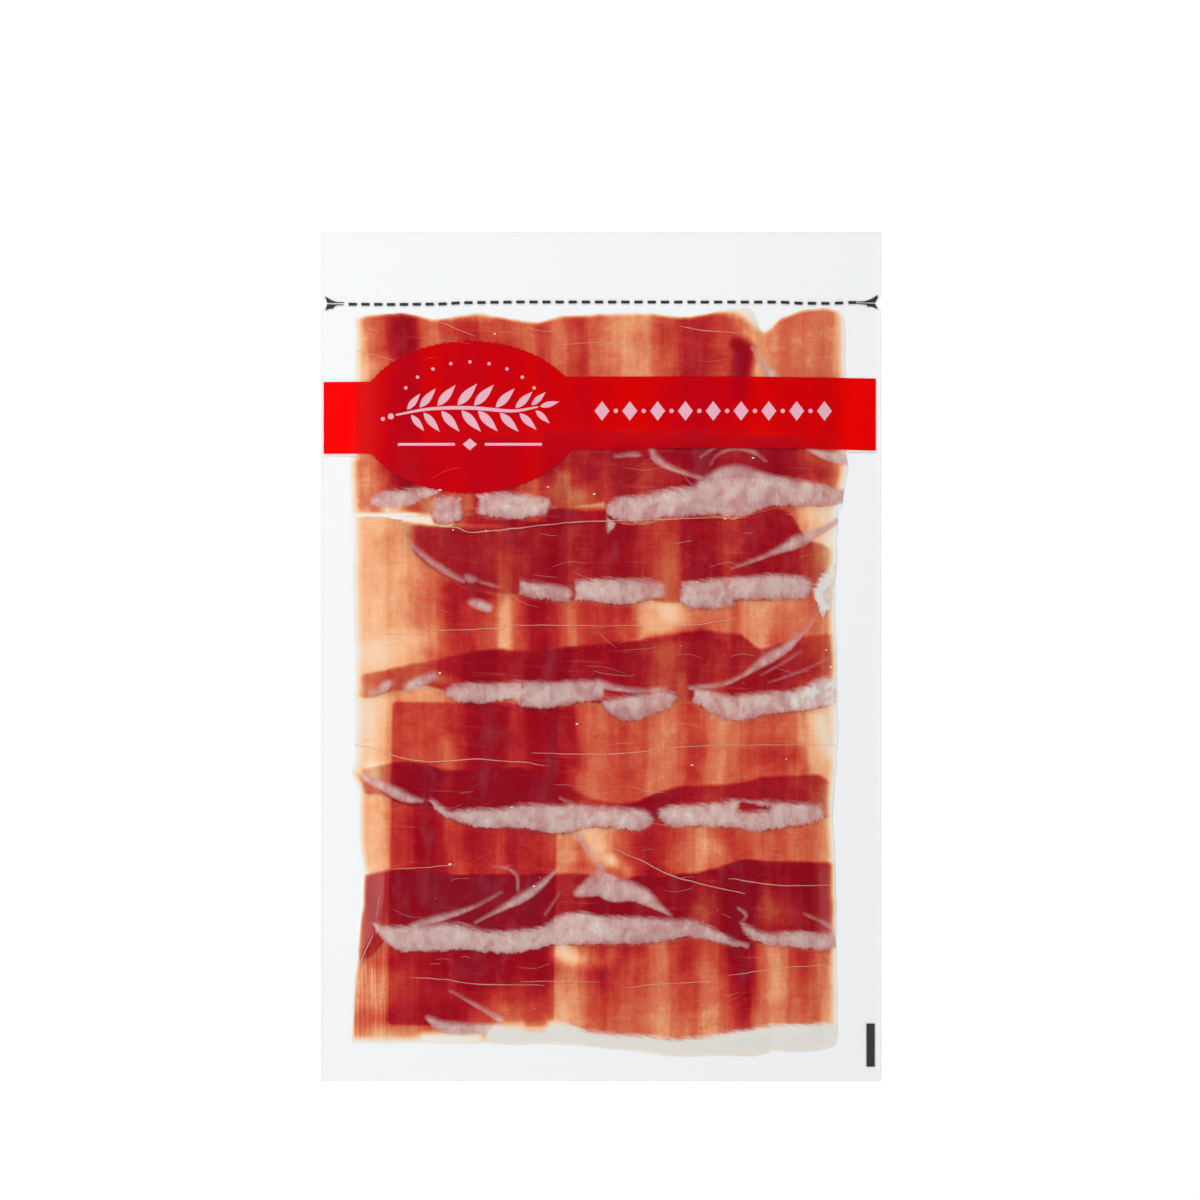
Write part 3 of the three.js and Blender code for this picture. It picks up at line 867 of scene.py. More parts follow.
# ------------------------------------------------------------------ materials
class Nodes:
    """Short names for building a node tree."""

    def __init__(self, tree):
        self.t = tree

    def new(self, kind, **settings):
        n = self.t.nodes.new(kind)
        for key, value in settings.items():
            setattr(n, key, value)
        return n

    def put(self, socket, value):
        if isinstance(value, bpy.types.NodeSocket):
            self.t.links.new(value, socket)
        else:
            socket.default_value = value

    def math(self, op, a, b=0.0, c=0.0, clamp=False):
        n = self.new("ShaderNodeMath", operation=op, use_clamp=clamp)
        for s, v in zip(n.inputs, (a, b, c)):
            self.put(s, v)
        return n.outputs[0]

    def add(self, *terms):
        out = terms[0]
        for t in terms[1:]:
            out = self.math("ADD", out, t)
        return out

    def mul(self, a, b):
        return self.math("MULTIPLY", a, b)

    def step(self, lo, hi, value):
        n = self.new("ShaderNodeMapRange", interpolation_type="SMOOTHSTEP")
        self.put(n.inputs["Value"], value)
        self.put(n.inputs["From Min"], lo)
        self.put(n.inputs["From Max"], hi)
        return n.outputs[0]

    def mix(self, fac, a, b, mode="MIX"):
        n = self.new("ShaderNodeMix", data_type="RGBA", blend_type=mode)
        self.put(n.inputs[0], fac)
        self.put(n.inputs[6], a)
        self.put(n.inputs[7], b)
        return n.outputs[2]

    def scaled(self, x, y, z=1.0):
        """Object coordinates in millimetres times x, y, z."""
        co = self.new("ShaderNodeTexCoord").outputs["Object"]
        m = self.new("ShaderNodeMapping")
        self.put(m.inputs["Vector"], co)
        m.inputs["Scale"].default_value = (1000 * x, 1000 * y, 1000 * z)
        return m.outputs[0]

    def turned(self, x, y, angle):
        """The same, along axes turned about Z."""
        co = self.new("ShaderNodeTexCoord").outputs["Object"]
        m = self.new("ShaderNodeMapping")
        self.put(m.inputs["Vector"], co)
        m.inputs["Rotation"].default_value = (0, 0, angle)
        m2 = self.new("ShaderNodeMapping")
        self.put(m2.inputs["Vector"], m.outputs[0])
        m2.inputs["Scale"].default_value = (1000 * x, 1000 * y, 100)
        return m2.outputs[0]

    def noise(self, vector, scale=1.0, detail=2.0, rough=0.5, w=0.0, bend=0.0):
        n = self.new("ShaderNodeTexNoise", noise_dimensions="4D")
        self.put(n.inputs["Vector"], vector)
        self.put(n.inputs["Scale"], scale)
        self.put(n.inputs["Detail"], detail)
        self.put(n.inputs["Roughness"], rough)
        self.put(n.inputs["W"], w)
        self.put(n.inputs["Distortion"], bend)
        return n.outputs["Fac"]

    def off(self, value, amount):
        """A noise value about zero, times amount."""
        return self.mul(self.math("SUBTRACT", value, 0.5), amount)

    def attr(self, name):
        return self.new("ShaderNodeAttribute", attribute_name=name).outputs["Fac"]

    def ramp(self, fac, stops, mode="LINEAR"):
        n = self.new("ShaderNodeValToRGB")
        n.color_ramp.interpolation = mode
        e = n.color_ramp.elements
        while len(e) < len(stops):
            e.new(0.5)
        for item, (at, colour) in zip(e, stops):
            item.position = at
            item.color = (*colour, 1)
        self.put(n.inputs[0], fac)
        return n.outputs[0]


def lin(r, g, b):
    """An 8-bit screen colour as linear light."""
    return tuple(
        c / 12.92 if c <= 0.04045 else ((c + 0.055) / 1.055) ** 2.4
        for c in (r / 255, g / 255, b / 255)
    )


def wet(r, g, b):
    """The albedo of meat that reads as this screen colour under the film."""
    return tuple(c * 0.90 for c in lin(r, g, b))


def material(name):
    m = bpy.data.materials.new(name)
    m.use_nodes = True
    m.node_tree.nodes.clear()
    n = Nodes(m.node_tree)
    out = n.new("ShaderNodeOutputMaterial")
    return m, n, out


LIGHT = 1.0  # how bright a pure white reads under the film


def meat_colour(n):
    """Colour of cured ham from depth, fat and tone, with its grain. The same
    nodes serve the meat and the ink printed over it."""
    depth, fat, tone = n.attr("depth"), n.attr("fat"), n.attr("tone")
    lap, thin, up = n.attr("lap"), n.attr("thin"), n.attr("up")
    streak = n.noise(n.scaled(0.50, 0.030, 0.03), 1.0, 3.0, 0.6, 1.0)
    streak2 = n.noise(n.scaled(1.3, 0.09, 0.05), 1.0, 2.0, 0.5, 2.0)
    cloud = n.noise(n.scaled(0.12, 0.10, 0.05), 1.0, 4.0, 0.65, 3.0, 0.4)
    grain = n.noise(n.scaled(1.3, 1.0, 0.3), 1.0, 3.0, 0.65, 4.0, 0.5)
    weft = n.noise(n.scaled(0.12, 0.8, 0.1), 1.0, 4.0, 0.65, 5.0, 0.8)
    # The lowest left corner is drawn out into strong upright fibres.
    place_of = n.new("ShaderNodeSeparateXYZ")
    n.put(place_of.inputs[0], n.scaled(1, 1, 1))
    corner = n.mul(
        n.step(-63.5, -65.5, place_of.outputs[0]),
        n.step(-82.0, -90.0, place_of.outputs[1]),
    )
    warp = n.noise(n.scaled(1.5, 0.035, 0.1), 1.0, 3.0, 0.6, 15.0)
    change = n.add(
        n.off(streak, 0.42),
        n.off(streak2, 0.13),
        n.off(cloud, 1.05),
        n.off(grain, 0.30),
        n.off(weft, 0.30),
        n.mul(corner, n.off(warp, 2.0)),
    )
    gain = n.math("MULTIPLY_ADD", n.step(0.1, 1.2, depth), 0.8, 0.2)
    d = n.add(depth, n.mul(change, gain))
    d = n.math("DIVIDE", d, 3.2, clamp=True)
    stops = [
        (0.00, wet(240, 237, 230)),
        (0.08, wet(241, 216, 190)),
        (0.15, wet(240, 192, 150)),
        (0.22, wet(228, 162, 116)),
        (0.30, wet(210, 118, 84)),
        (0.40, wet(198, 82, 58)),
        (0.49, wet(184, 50, 44)),
        (0.57, wet(166, 26, 36)),
        (0.67, wet(148, 8, 27)),
        (0.84, wet(138, 22, 38)),
    ]
    lean = n.ramp(d, stops)
    # One layer lets more red through than layers that lap.
    parts = n.new("ShaderNodeSeparateColor")
    n.put(parts.inputs[0], lean)
    brighter = n.mul(n.step(0.05, 0.2, d), n.math("MULTIPLY_ADD", lap, -0.19, 0.08))
    whole = n.new("ShaderNodeCombineColor")
    n.put(whole.inputs[0], n.mul(parts.outputs[0], n.math("ADD", brighter, 1.0)))
    n.put(whole.inputs[1], parts.outputs[1])
    n.put(whole.inputs[2], parts.outputs[2])
    lean = whole.outputs[0]
    # A milky bloom where the film barely touches the darker meat.
    bloom = n.noise(n.scaled(0.16, 0.06, 0.05), 1.0, 3.0, 0.6, 6.0)
    bloom = n.mul(n.step(0.48, 0.74, bloom), n.step(0.45, 0.65, d))
    lean = n.mix(n.mul(bloom, 0.22), lean, (*wet(164, 84, 100), 1))
    # Fine pale fibres across and aslant.
    faint = n.math("MULTIPLY_ADD", n.step(0.45, 0.7, d), -0.5, 1.0)
    for turn, w, much in ((0.05, 21.0, 0.19), (0.4, 22.0, 0.08), (-0.5, 23.0, 0.08)):
        fibre = n.noise(n.turned(0.045, 0.85, turn), 1.0, 2.0, 0.55, w)
        lean = n.mix(
            n.mul(n.mul(n.step(0.60, 0.80, fibre), much), faint),
            lean,
            (*wet(226, 146, 118), 1),
        )

    # Fat: bumpy along its lower edge, and drawn out in slanting fibres above.
    low = n.add(
        n.off(n.noise(n.scaled(1.5, 0.75, 0.3), 1.0, 3.0, 0.65, 7.0, 0.4), 5.5),
        n.off(n.noise(n.scaled(0.42, 0.50, 0.3), 1.0, 3.0, 0.6, 8.0), 8.0),
    )
    high = n.add(
        n.off(n.noise(n.turned(0.20, 1.5, 0.35), 1.0, 2.0, 0.6, 16.0), 9.0),
        n.off(n.noise(n.turned(0.12, 0.9, 0.05), 1.0, 2.0, 0.6, 17.0), 7.0),
        n.off(n.noise(n.scaled(1.6, 0.6, 0.3), 1.0, 2.0, 0.6, 18.0), 3.0),
    )
    rag = n.add(low, n.mul(up, n.math("SUBTRACT", high, low)))
    rag = n.mul(rag, n.math("MULTIPLY_ADD", thin, -0.72, 1.0))
    f = n.add(fat, n.mul(rag, n.step(-10.0, 3.0, fat)))
    mask = n.step(
        n.math("MULTIPLY_ADD", up, -1.8, -0.9), n.math("MULTIPLY_ADD", up, 1.8, 2.0), f
    )
    blotch = n.noise(n.scaled(0.24, 0.20, 0.1), 1.0, 4.0, 0.6, 9.0, 0.5)
    fibre2 = n.noise(n.scaled(1.2, 0.50, 0.2), 1.0, 3.0, 0.6, 10.0)
    w = n.add(
        n.mul(n.step(-2.0, 12.0, fat), 0.20),
        n.mul(tone, 0.74),
        n.off(blotch, 2.05),
        n.off(fibre2, 0.45),
        n.off(streak, 0.40),
        n.off(streak2, 0.16),
        0.05,
    )
    white = n.ramp(
        n.math("MULTIPLY", w, 0.8, clamp=True),
        [
            (0.00, wet(189, 126, 129)),
            (0.18, wet(196, 142, 142)),
            (0.36, wet(205, 159, 155)),
            (0.52, wet(214, 177, 170)),
            (0.70, wet(220, 194, 184)),
            (0.88, wet(230, 228, 220)),
        ],
    )
    white = n.mix(n.mul(n.step(0.42, 0.75, d), 0.34), white, (*wet(190, 164, 161), 1))
    opaque = n.add(
        n.mul(n.step(0.0, 6.0, f), 0.24), n.mul(n.step(0.1, 0.7, w), 0.14), 0.60
    )
    return n.mix(n.mul(mask, opaque), lean, white), mask, d, grain, fibre2


def principled(n, out, **values):
    p = n.new("ShaderNodeBsdfPrincipled")
    for key, value in values.items():
        n.put(p.inputs[key.replace("_", " ")], value)
    n.t.links.new(p.outputs[0], out.inputs["Surface"])
    return p


def bump(n, height, distance, strength=1.0):
    b = n.new("ShaderNodeBump")
    b.inputs["Strength"].default_value = strength
    b.inputs["Distance"].default_value = distance
    n.put(b.inputs["Height"], height)
    return b.outputs[0]


def meat_material():
    m, n, out = material("cured_ham")
    colour, mask, d, grain, fibre = meat_colour(n)
    p = principled(n, out)
    n.put(p.inputs["Base Color"], colour)
    p.inputs["Roughness"].default_value = 0.6
    p.inputs["Specular IOR Level"].default_value = 0.0
    n.put(p.inputs["Normal"], bump(n, n.add(grain, fibre), 0.00006, 0.4))
    return m


def ink_material():
    """Red ink that lets a little of the meat through."""
    m, n, out = material("red_ink")
    colour, mask, d, grain, fibre = meat_colour(n)
    sep = n.new("ShaderNodeSeparateColor")
    n.put(sep.inputs[0], colour)
    on_meat = n.math("MULTIPLY_ADD", sep.outputs[0], 0.39, 0.27)
    over_ham = n.attr("over")
    red = n.add(
        n.mul(on_meat, over_ham),
        n.mul(n.math("SUBTRACT", 1.0, over_ham), 0.77),
    )
    blue = n.mul(n.mul(over_ham, n.step(0.20, 0.65, d)), 0.0050)
    speck = n.noise(n.scaled(3.2, 3.2, 1.0), 1.0, 2.0, 0.5, 11.0)
    red = n.mul(red, n.math("MULTIPLY_ADD", speck, 0.08, 0.96))
    # Painted shade: away from the meat the red ink is made darker towards the right, standing in for the
    # light falling off there.
    side = n.new("ShaderNodeSeparateXYZ")
    n.put(side.inputs[0], n.scaled(1, 1, 1))
    right_painted_shade = n.mul(n.step(20.0, 85.0, side.outputs[0]), n.math("SUBTRACT", 1.0, over_ham))
    red = n.mul(red, n.math("MULTIPLY_ADD", right_painted_shade, -0.16, 1.0))
    c = n.new("ShaderNodeCombineColor")
    n.put(c.inputs[0], red)
    n.put(c.inputs[1], 0.0)
    n.put(c.inputs[2], blue)
    p = principled(n, out)
    n.put(p.inputs["Base Color"], c.outputs[0])
    p.inputs["Roughness"].default_value = 0.35
    p.inputs["Specular IOR Level"].default_value = 0.05
    return m


def plain_ink(name, colour, rough=0.4, vary=0.15, alpha=1.0):
    m, n, out = material(name)
    speck = n.noise(n.scaled(2.4, 2.4, 1.0), 1.0, 3.0, 0.6, 12.0)
    c = n.mix(
        n.mul(speck, vary),
        (*colour, 1),
        (*[min(1, v * 1.25 + 0.02) for v in colour], 1),
    )
    p = principled(n, out)
    n.put(p.inputs["Base Color"], c)
    p.inputs["Roughness"].default_value = rough
    p.inputs["Specular IOR Level"].default_value = 0.3
    if alpha < 1:
        p.inputs["Alpha"].default_value = alpha
    return m


def film_material():
    m, n, out = material("clear_film")
    clear = n.new("ShaderNodeBsdfTransparent")
    clear.inputs[0].default_value = (0.948, 0.953, 0.958, 1)
    gloss = n.new("ShaderNodeBsdfGlossy")
    gloss.inputs["Color"].default_value = (0.95, 0.96, 1.0, 1)
    gloss.inputs["Roughness"].default_value = 0.12
    facing = n.new("ShaderNodeLayerWeight")
    facing.inputs["Blend"].default_value = 0.5
    edge = n.math("POWER", facing.outputs["Facing"], 4.0)
    fac = n.math("MULTIPLY_ADD", edge, 0.45, 0.011)
    mix = n.new("ShaderNodeMixShader")
    n.put(mix.inputs[0], fac)
    n.t.links.new(clear.outputs[0], mix.inputs[1])
    n.t.links.new(gloss.outputs[0], mix.inputs[2])
    n.t.links.new(mix.outputs[0], out.inputs["Surface"])
    ripple = n.noise(n.scaled(0.25, 0.4, 0.2), 1.0, 3.0, 0.6, 13.0)
    n.put(gloss.inputs["Normal"], bump(n, ripple, 0.0001, 0.25))
    return m


def label_material():
    """Plain coated paper with a thin frame and a few ruled lines."""
    m, n, out = material("label_paper")
    cx, cy, hw, hh, turn = LABEL
    co = n.new("ShaderNodeTexCoord").outputs["Object"]
    mp = n.new("ShaderNodeMapping", vector_type="TEXTURE")
    n.put(mp.inputs["Vector"], co)
    mp.inputs["Location"].default_value = ((cx - CX) * U, (CY - cy) * U, 0)
    mp.inputs["Rotation"].default_value = (0, 0, -turn)
    mp.inputs["Scale"].default_value = (0.001, 0.001, 0.001)
    sep = n.new("ShaderNodeSeparateXYZ")
    n.put(sep.inputs[0], mp.outputs[0])
    u, v = n.math("ABSOLUTE", sep.outputs[0]), sep.outputs[1]
    av = n.math("ABSOLUTE", v)
    half_w, half_h = hw * MM, hh * MM
    inset = n.math(
        "MINIMUM",
        n.math("SUBTRACT", half_w, u),
        n.math("SUBTRACT", half_h, av),
    )
    line = n.math(
        "MULTIPLY", n.step(1.85, 1.95, inset), n.step(2.45, 2.35, inset)
    )
    rule_at = n.math("FRACT", n.math("DIVIDE", n.math("ADD", v, 60.0), 6.2))
    rules = n.mul(
        n.mul(n.step(0.440, 0.452, rule_at), n.step(0.528, 0.516, rule_at)),
        n.mul(n.step(half_w - 5.4, half_w - 5.6, u), n.step(8.0, 7.8, v)),
    )
    rules = n.mul(rules, n.step(-44.0, -43.8, v))
    block = n.mul(
        n.mul(n.step(18.2, 18.4, v), n.step(40.4, 40.2, v)),
        n.step(half_w - 5.4, half_w - 5.6, u),
    )
    fibres = n.noise(n.scaled(1.4, 1.4, 1.0), 1.0, 5.0, 0.65, 14.0)
    paper = n.mix(fibres, (0.80, 0.79, 0.75, 1), (0.90, 0.89, 0.86, 1))
    c = n.mix(n.mul(block, 0.9), paper, (0.55, 0.03, 0.03, 1))
    c = n.mix(n.mul(line, 0.9), c, (0.42, 0.03, 0.04, 1))
    c = n.mix(n.mul(rules, 0.75), c, (0.22, 0.21, 0.21, 1))
    p = principled(n, out)
    n.put(p.inputs["Base Color"], c)
    p.inputs["Roughness"].default_value = 0.55
    p.inputs["Specular IOR Level"].default_value = 0.35
    n.put(p.inputs["Normal"], bump(n, fibres, 0.00004, 0.4))
    return m


MEAT = meat_material()
FILM = film_material()
RED = ink_material()
BLACK = plain_ink("black_ink", (0.017, 0.016, 0.016), 0.45, 0.6)
BROWN = plain_ink("mark_ink", (0.022, 0.016, 0.013), 0.45, 0.8)
PALE = plain_ink("pale_ink", tuple(0.8 * c for c in lin(226, 172, 188)), 0.4, 0.5)
PINK = plain_ink("pink_ink", lin(248, 196, 200), 0.4, 0.5)
# Painted highlight: the pale colour of the crease ridges stands in for light caught on the film's folds.
CREASE_HIGHLIGHT = plain_ink("film_crease_highlight", (0.88, 0.54, 0.42), 0.25, 0.5, alpha=0.32)
WISP = plain_ink("film_wisp", (0.86, 0.56, 0.46), 0.3, 0.3, alpha=0.14)
GLINT = plain_ink("film_glint", (0.86, 0.62, 0.50), 0.15, 0.9, alpha=0.8)

# ----------------------------------------------------------------- meat pieces
meat = []
for k, row in enumerate(ROWS):
    verts, faces, fields = row_mesh(k, row)
    ob = make(row["name"], verts, faces, fields, MEAT)
    face_up(ob, None)
    ob.data.set_sharp_from_angle(angle=math.radians(50))
    meat.append(ob)

# ------------------------------------------------------------------------ film
NOTCHES = [(303.5, 2.25 / MM, 1.8 / MM)]  # height, half mouth, depth


def edge_notch(y):
    at, half, deep = NOTCHES[0]
    return deep * np.clip(1 - np.abs(y - at) / half, 0, 1)


def film_bag():
    step = 2.6
    at, half, _ = NOTCHES[0]
    ys = np.concatenate(
        [
            np.linspace(PACK[2], at - half, 26)[:-1],
            np.linspace(at - half, at + half, 7)[:-1],
            np.linspace(at + half, PACK[3], int((PACK[3] - at - half) / step)),
        ]
    )
    us = np.linspace(0, 1, int((PACK[1] - PACK[0]) / step))
    nx, ny = len(us), len(ys)
    u, y = np.meshgrid(us, ys, indexing="ij")
    left, right = PACK[0] + edge_notch(y), PACK[1] - edge_notch(y)
    x = left + (right - left) * u
    x, y = x.ravel(), y.ravel()
    z = sample(film_z, x, y)
    ring = ring_of(nx, ny)
    z[ring] = 0.10
    n_top = len(x)
    # The back film dents in over the label.
    bx, by = np.meshgrid(
        np.linspace(PACK[0] + 6, PACK[1] - 6, 60), np.linspace(PACK[2] + 6, PACK[3] - 6, 90)
    )
    cx, cy, hw, hh, turn = LABEL
    extra = []
    for grow_by in (-2.0, 0.6, 2.2):
        n_l, n_s = 46, 26
        a, b = hw + grow_by, hh + grow_by
        for s in range(n_l):
            t = -1 + 2 * s / (n_l - 1)
            extra += [(-a, t * b), (a, t * b)]
        for s in range(1, n_s - 1):
            t = -1 + 2 * s / (n_s - 1)
            extra += [(t * a, -b), (t * a, b)]
    e = np.array(extra)
    ex = cx + e[:, 0] * math.cos(turn) - e[:, 1] * math.sin(turn)
    ey = cy + e[:, 0] * math.sin(turn) + e[:, 1] * math.cos(turn)
    px, py = bx.ravel(), by.ravel()
    keep = np.abs(sample(label_inside, px, py)) > 6
    px, py = np.concatenate([px[keep], ex]), np.concatenate([py[keep], ey])
    pts, tris, orig = filled(
        np.stack([x[ring], y[ring]], -1), np.stack([px, py], -1)
    )
    z_low = 0.03 + 0.145 * smooth(-2.2, -0.6, sample(label_inside, pts[:, 0], pts[:, 1]))
    verts = np.vstack([place(x, y, z), place(pts[:, 0], pts[:, 1], z_low)])
    where = np.full(len(ring), -1)
    for i, o in enumerate(orig):
        for p in o:
            if p < len(ring):
                where[p] = i
    nxt = np.roll(np.arange(len(ring)), -1)
    wall = np.stack([ring, n_top + where, n_top + where[nxt], ring[nxt]], -1)
    return verts, [grid_faces(nx, ny), wall[:, ::-1], (tris + n_top)[:, ::-1]]


verts, faces = film_bag()
film = make("film_bag", verts, faces, None, FILM)
face_up(film, None)


# ----------------------------------------------------------------------- print
def finer(outline, most):
    """The outline with no side longer than most."""
    o = np.array(outline, float)
    out = []
    for p, q in zip(o, np.roll(o, -1, 0)):
        n = max(1, int(math.ceil(np.hypot(*(q - p)) / most)))
        out += [p + (q - p) * i / n for i in range(n)]
    return np.array(out)


def printed(name, outlines, lift, mat, cell=6.0, thick=0.012, fields=False):
    """Flat ink with the given outlines, laid on the film, as a thin closed
    body. Lift and thickness are in millimetres."""
    all_v, all_f, extra = [], [[], [], []], []
    first = 0
    for outline in outlines:
        o = finer(outline, 4.0)
        area = 0.5 * np.sum(
            o[:, 0] * np.roll(o[:, 1], -1) - np.roll(o[:, 0], -1) * o[:, 1]
        )
        if area < 0:
            o = o[::-1]
        x0, y0 = o.min(0)
        x1, y1 = o.max(0)
        gx, gy = np.meshgrid(
            np.arange(x0 + cell / 2, x1, cell), np.arange(y0 + cell / 2, y1, cell)
        )
        inner = np.stack([gx.ravel(), gy.ravel()], -1)
        if len(inner):
            # Keep points inside and clear of the outline.
            a, b = o, np.roll(o, -1, 0)
            inside = np.zeros(len(inner), bool)
            dist = np.full(len(inner), 1e9)
            for p, q in zip(a, b):
                cross = (p[1] > inner[:, 1]) != (q[1] > inner[:, 1])
                at = (q[0] - p[0]) * (inner[:, 1] - p[1]) / (
                    (q[1] - p[1]) or 1e-9
                ) + p[0]
                inside ^= cross & (inner[:, 0] < at)
                d = q - p
                t = np.clip(((inner - p) @ d) / max(d @ d, 1e-9), 0, 1)
                dist = np.minimum(
                    dist, np.hypot(*(inner - p - t[:, None] * d).T)
                )
            inner = inner[inside & (dist > cell * 0.35)]
        pts, tris, orig = filled(o, inner)
        n = len(pts)
        z = sample(film_z, pts[:, 0], pts[:, 1]) + lift
        all_v += [place(pts[:, 0], pts[:, 1], z + thick), place(pts[:, 0], pts[:, 1], z)]
        where = np.full(len(o), -1)
        for i, src in enumerate(orig):
            for p in src:
                if p < len(o):
                    where[p] = i
        nxt = np.roll(where, -1)
        all_f[0].append(tris + first)
        all_f[1].append(tris[:, ::-1] + first + n)
        all_f[2].append(
            np.stack([where, where + n, nxt + n, nxt], -1) + first
        )
        extra.append(np.vstack([pts, pts]))
        first += 2 * n
    verts = np.vstack(all_v)
    faces = [np.vstack(f) for f in all_f]
    at = np.vstack(extra)
    data = None
    if fields:
        data = {
            "depth": sample(seen_depth, at[:, 0], at[:, 1]),
            "fat": sample(seen_fat, at[:, 0], at[:, 1]),
            "tone": sample(seen_tone, at[:, 0], at[:, 1]),
            "lap": sample(seen_lap, at[:, 0], at[:, 1]),
            "thin": sample(seen_thin, at[:, 0], at[:, 1]),
            "up": sample(seen_up, at[:, 0], at[:, 1]),
            "over": sample(over, at[:, 0], at[:, 1]),
        }
    ob = make(name, verts, faces, data, mat)
    face_up(ob, None)
    ob.data.set_sharp_from_angle(angle=math.radians(40))
    return ob


OVAL = (470.0, 417.2, 112.0, 76.0)
BAND_TOP = [(323.4, 381.8), (372, 381.6), (470, 379), (570, 376.6), (740, 376.5),
            (820, 377.4), (876, 378.4)]
BAND_LOW = [(323.4, 453.6), (372, 453.6), (470, 451), (570, 449.8), (610, 449.8), (650, 448.8), (700, 448.2),
            (800, 448.8), (876, 450.4)]


def band_and_oval():
    """The cross band joined to the scalloped oval, as one outline."""
    cx, cy, a, b = OVAL
    n = 92  # scallops round the oval
    t = np.linspace(0, 2 * math.pi, n * 10, endpoint=False)
    scallop = 1.1 * (np.abs(np.sin(t * n / 2)) - 0.6)
    ox, oy = cx + (a + scallop) * np.cos(t), cy + (b + scallop) * np.sin(t)
    xs = np.arange(323.4, 876.1, 3.0)
    xs[-1] = 876.0
    up = along(BAND_TOP, xs, 6.0)
    low = along(BAND_LOW, xs, 6.0)
    out = []
    above = oy < cy
    # Upper side, left to right.
    oval_up = sorted(zip(ox[above], oy[above]))
    x_l = max(x for x, y in oval_up if x < cx and y > np.interp(x, xs, up))
    x_r = min(x for x, y in oval_up if x > cx and y > np.interp(x, xs, up))
    out += [(x, y) for x, y in zip(xs, up) if x < x_l - 1]
    out += [(x, y) for x, y in oval_up if x_l < x < x_r]
    out += [(x, y) for x, y in zip(xs, up) if x > x_r + 1]
    oval_low = sorted(zip(ox[~above], oy[~above]), reverse=True)
    x_l = max(x for x, y in oval_low if x < cx and y < np.interp(x, xs, low))
    x_r = min(x for x, y in oval_low if x > cx and y < np.interp(x, xs, low))
    back = list(zip(xs, low))[::-1]
    out += [(x, y) for x, y in back if x > x_r + 1]
    out += [(x, y) for x, y in oval_low if x_l < x < x_r]
    out += [(x, y) for x, y in back if x < x_l - 1]
    return out


printed("print_red", [band_and_oval()], 0.04, RED, cell=4.0, fields=True)


def strip(x0, x1, top, low, n=40):
    xs = np.linspace(x0, x1, n)
    return [(x, top(x)) for x in xs] + [(x, low(x)) for x in xs[::-1]]


def band_low(x):
    return float(np.interp(x, [p[0] for p in BAND_LOW], [p[1] for p in BAND_LOW]))


printed(
    "print_fringe",
    [
        strip(323.6, 357, lambda x: band_low(x) + 0.3, lambda x: band_low(x) + 1.9),
        strip(847, 876, lambda x: band_low(x) + 0.3, lambda x: band_low(x) + 1.8),
    ],
    0.05, PINK, cell=4.0,
)


# The dashed tear guide and the wedges at its ends.
def dash_y(x):
    return float(
        np.interp(
            x,
            [325, 345, 395, 440, 460, 520, 780, 800, 830, 852, 876],
            [303.4, 304.0, 304.3, 303.9, 302.6, 301.8, 301.9, 303.0, 303.2, 302.3, 303.0],
        )
    )


dashes, x = [], 348.3
while x < 850:
    w = 8.2
    y = dash_y(x + w / 2)
    slope = (dash_y(x + w) - dash_y(x)) * 0.5
    dashes.append(
        [(x, y - 1.45 - slope), (x + w, y - 1.45 + slope), (x + w, y + 1.45 + slope),
         (x, y + 1.45 - slope)]
    )
    x += 12.8 + 0.75 * (x - 348) / 500
printed("print_dashes", dashes, 0.05, BLACK, cell=20)

wedges = [
    [(325, 296), (330, 299.3), (335.7, 301.7), (343.7, 301.9), (343.7, 302.7),
     (335, 302.7), (326.9, 302.6)],
    [(326.9, 304.0), (335, 304.1), (343.5, 304.2), (343.5, 305.0), (336, 305.3),
     (333.8, 306.6), (332.5, 308.8), (330.3, 308.4), (328, 308.9), (325, 310.6)],
    [(877.9, 294.7), (877.6, 298), (875.4, 302.3), (865.6, 302.2), (857, 302.0),
     (857, 301.2), (865.6, 300.9), (872, 298.4)],
    [(857, 303.0), (866, 303.2), (875.3, 303.4), (876, 305), (878, 309.1),
     (873, 306.8), (870, 306.4), (867.6, 306.8), (867.0, 304.6), (857, 303.8)],
]
printed("print_wedges", wedges, 0.05, BLACK, cell=20)
printed(
    "print_eye_mark",
    [[(866.6, 1023.8), (874.9, 1023.8), (874.9, 1067), (866.6, 1067)]],
    0.05, BROWN, cell=6,
)


# A plain sprig of leaves in the oval, and a row of lozenges on the band.
def leaf(x, y, length, width, turn, n=14):
    t = np.linspace(0, 1, n)
    half = width * np.sin(np.pi * t**0.85) * (1 - 0.25 * t)
    px = np.concatenate([t * length, t[::-1][1:-1] * length])
    py = np.concatenate([half, -half[::-1][1:-1]])
    c, s = math.cos(turn), math.sin(turn)
    return [(x + a * c - b * s, y + a * s + b * c) for a, b in zip(px, py)]


def ribbon(knots):
    p = spine([(x, y, w) for x, y, w in knots], 8)
    d = np.gradient(p[:, :2], axis=0)
    d /= np.maximum(np.hypot(*d.T), 1e-9)[:, None]
    side = np.stack([-d[:, 1], d[:, 0]], -1) * p[:, 2:3]
    return [tuple(v) for v in p[:, :2] + side] + [
        tuple(v) for v in (p[:, :2] - side)[::-1]
    ]


def disc(x, y, r, n=20):
    return [
        (x + r * math.cos(a), y + r * math.sin(a))
        for a in np.linspace(0, 2 * math.pi, n, endpoint=False)
    ]


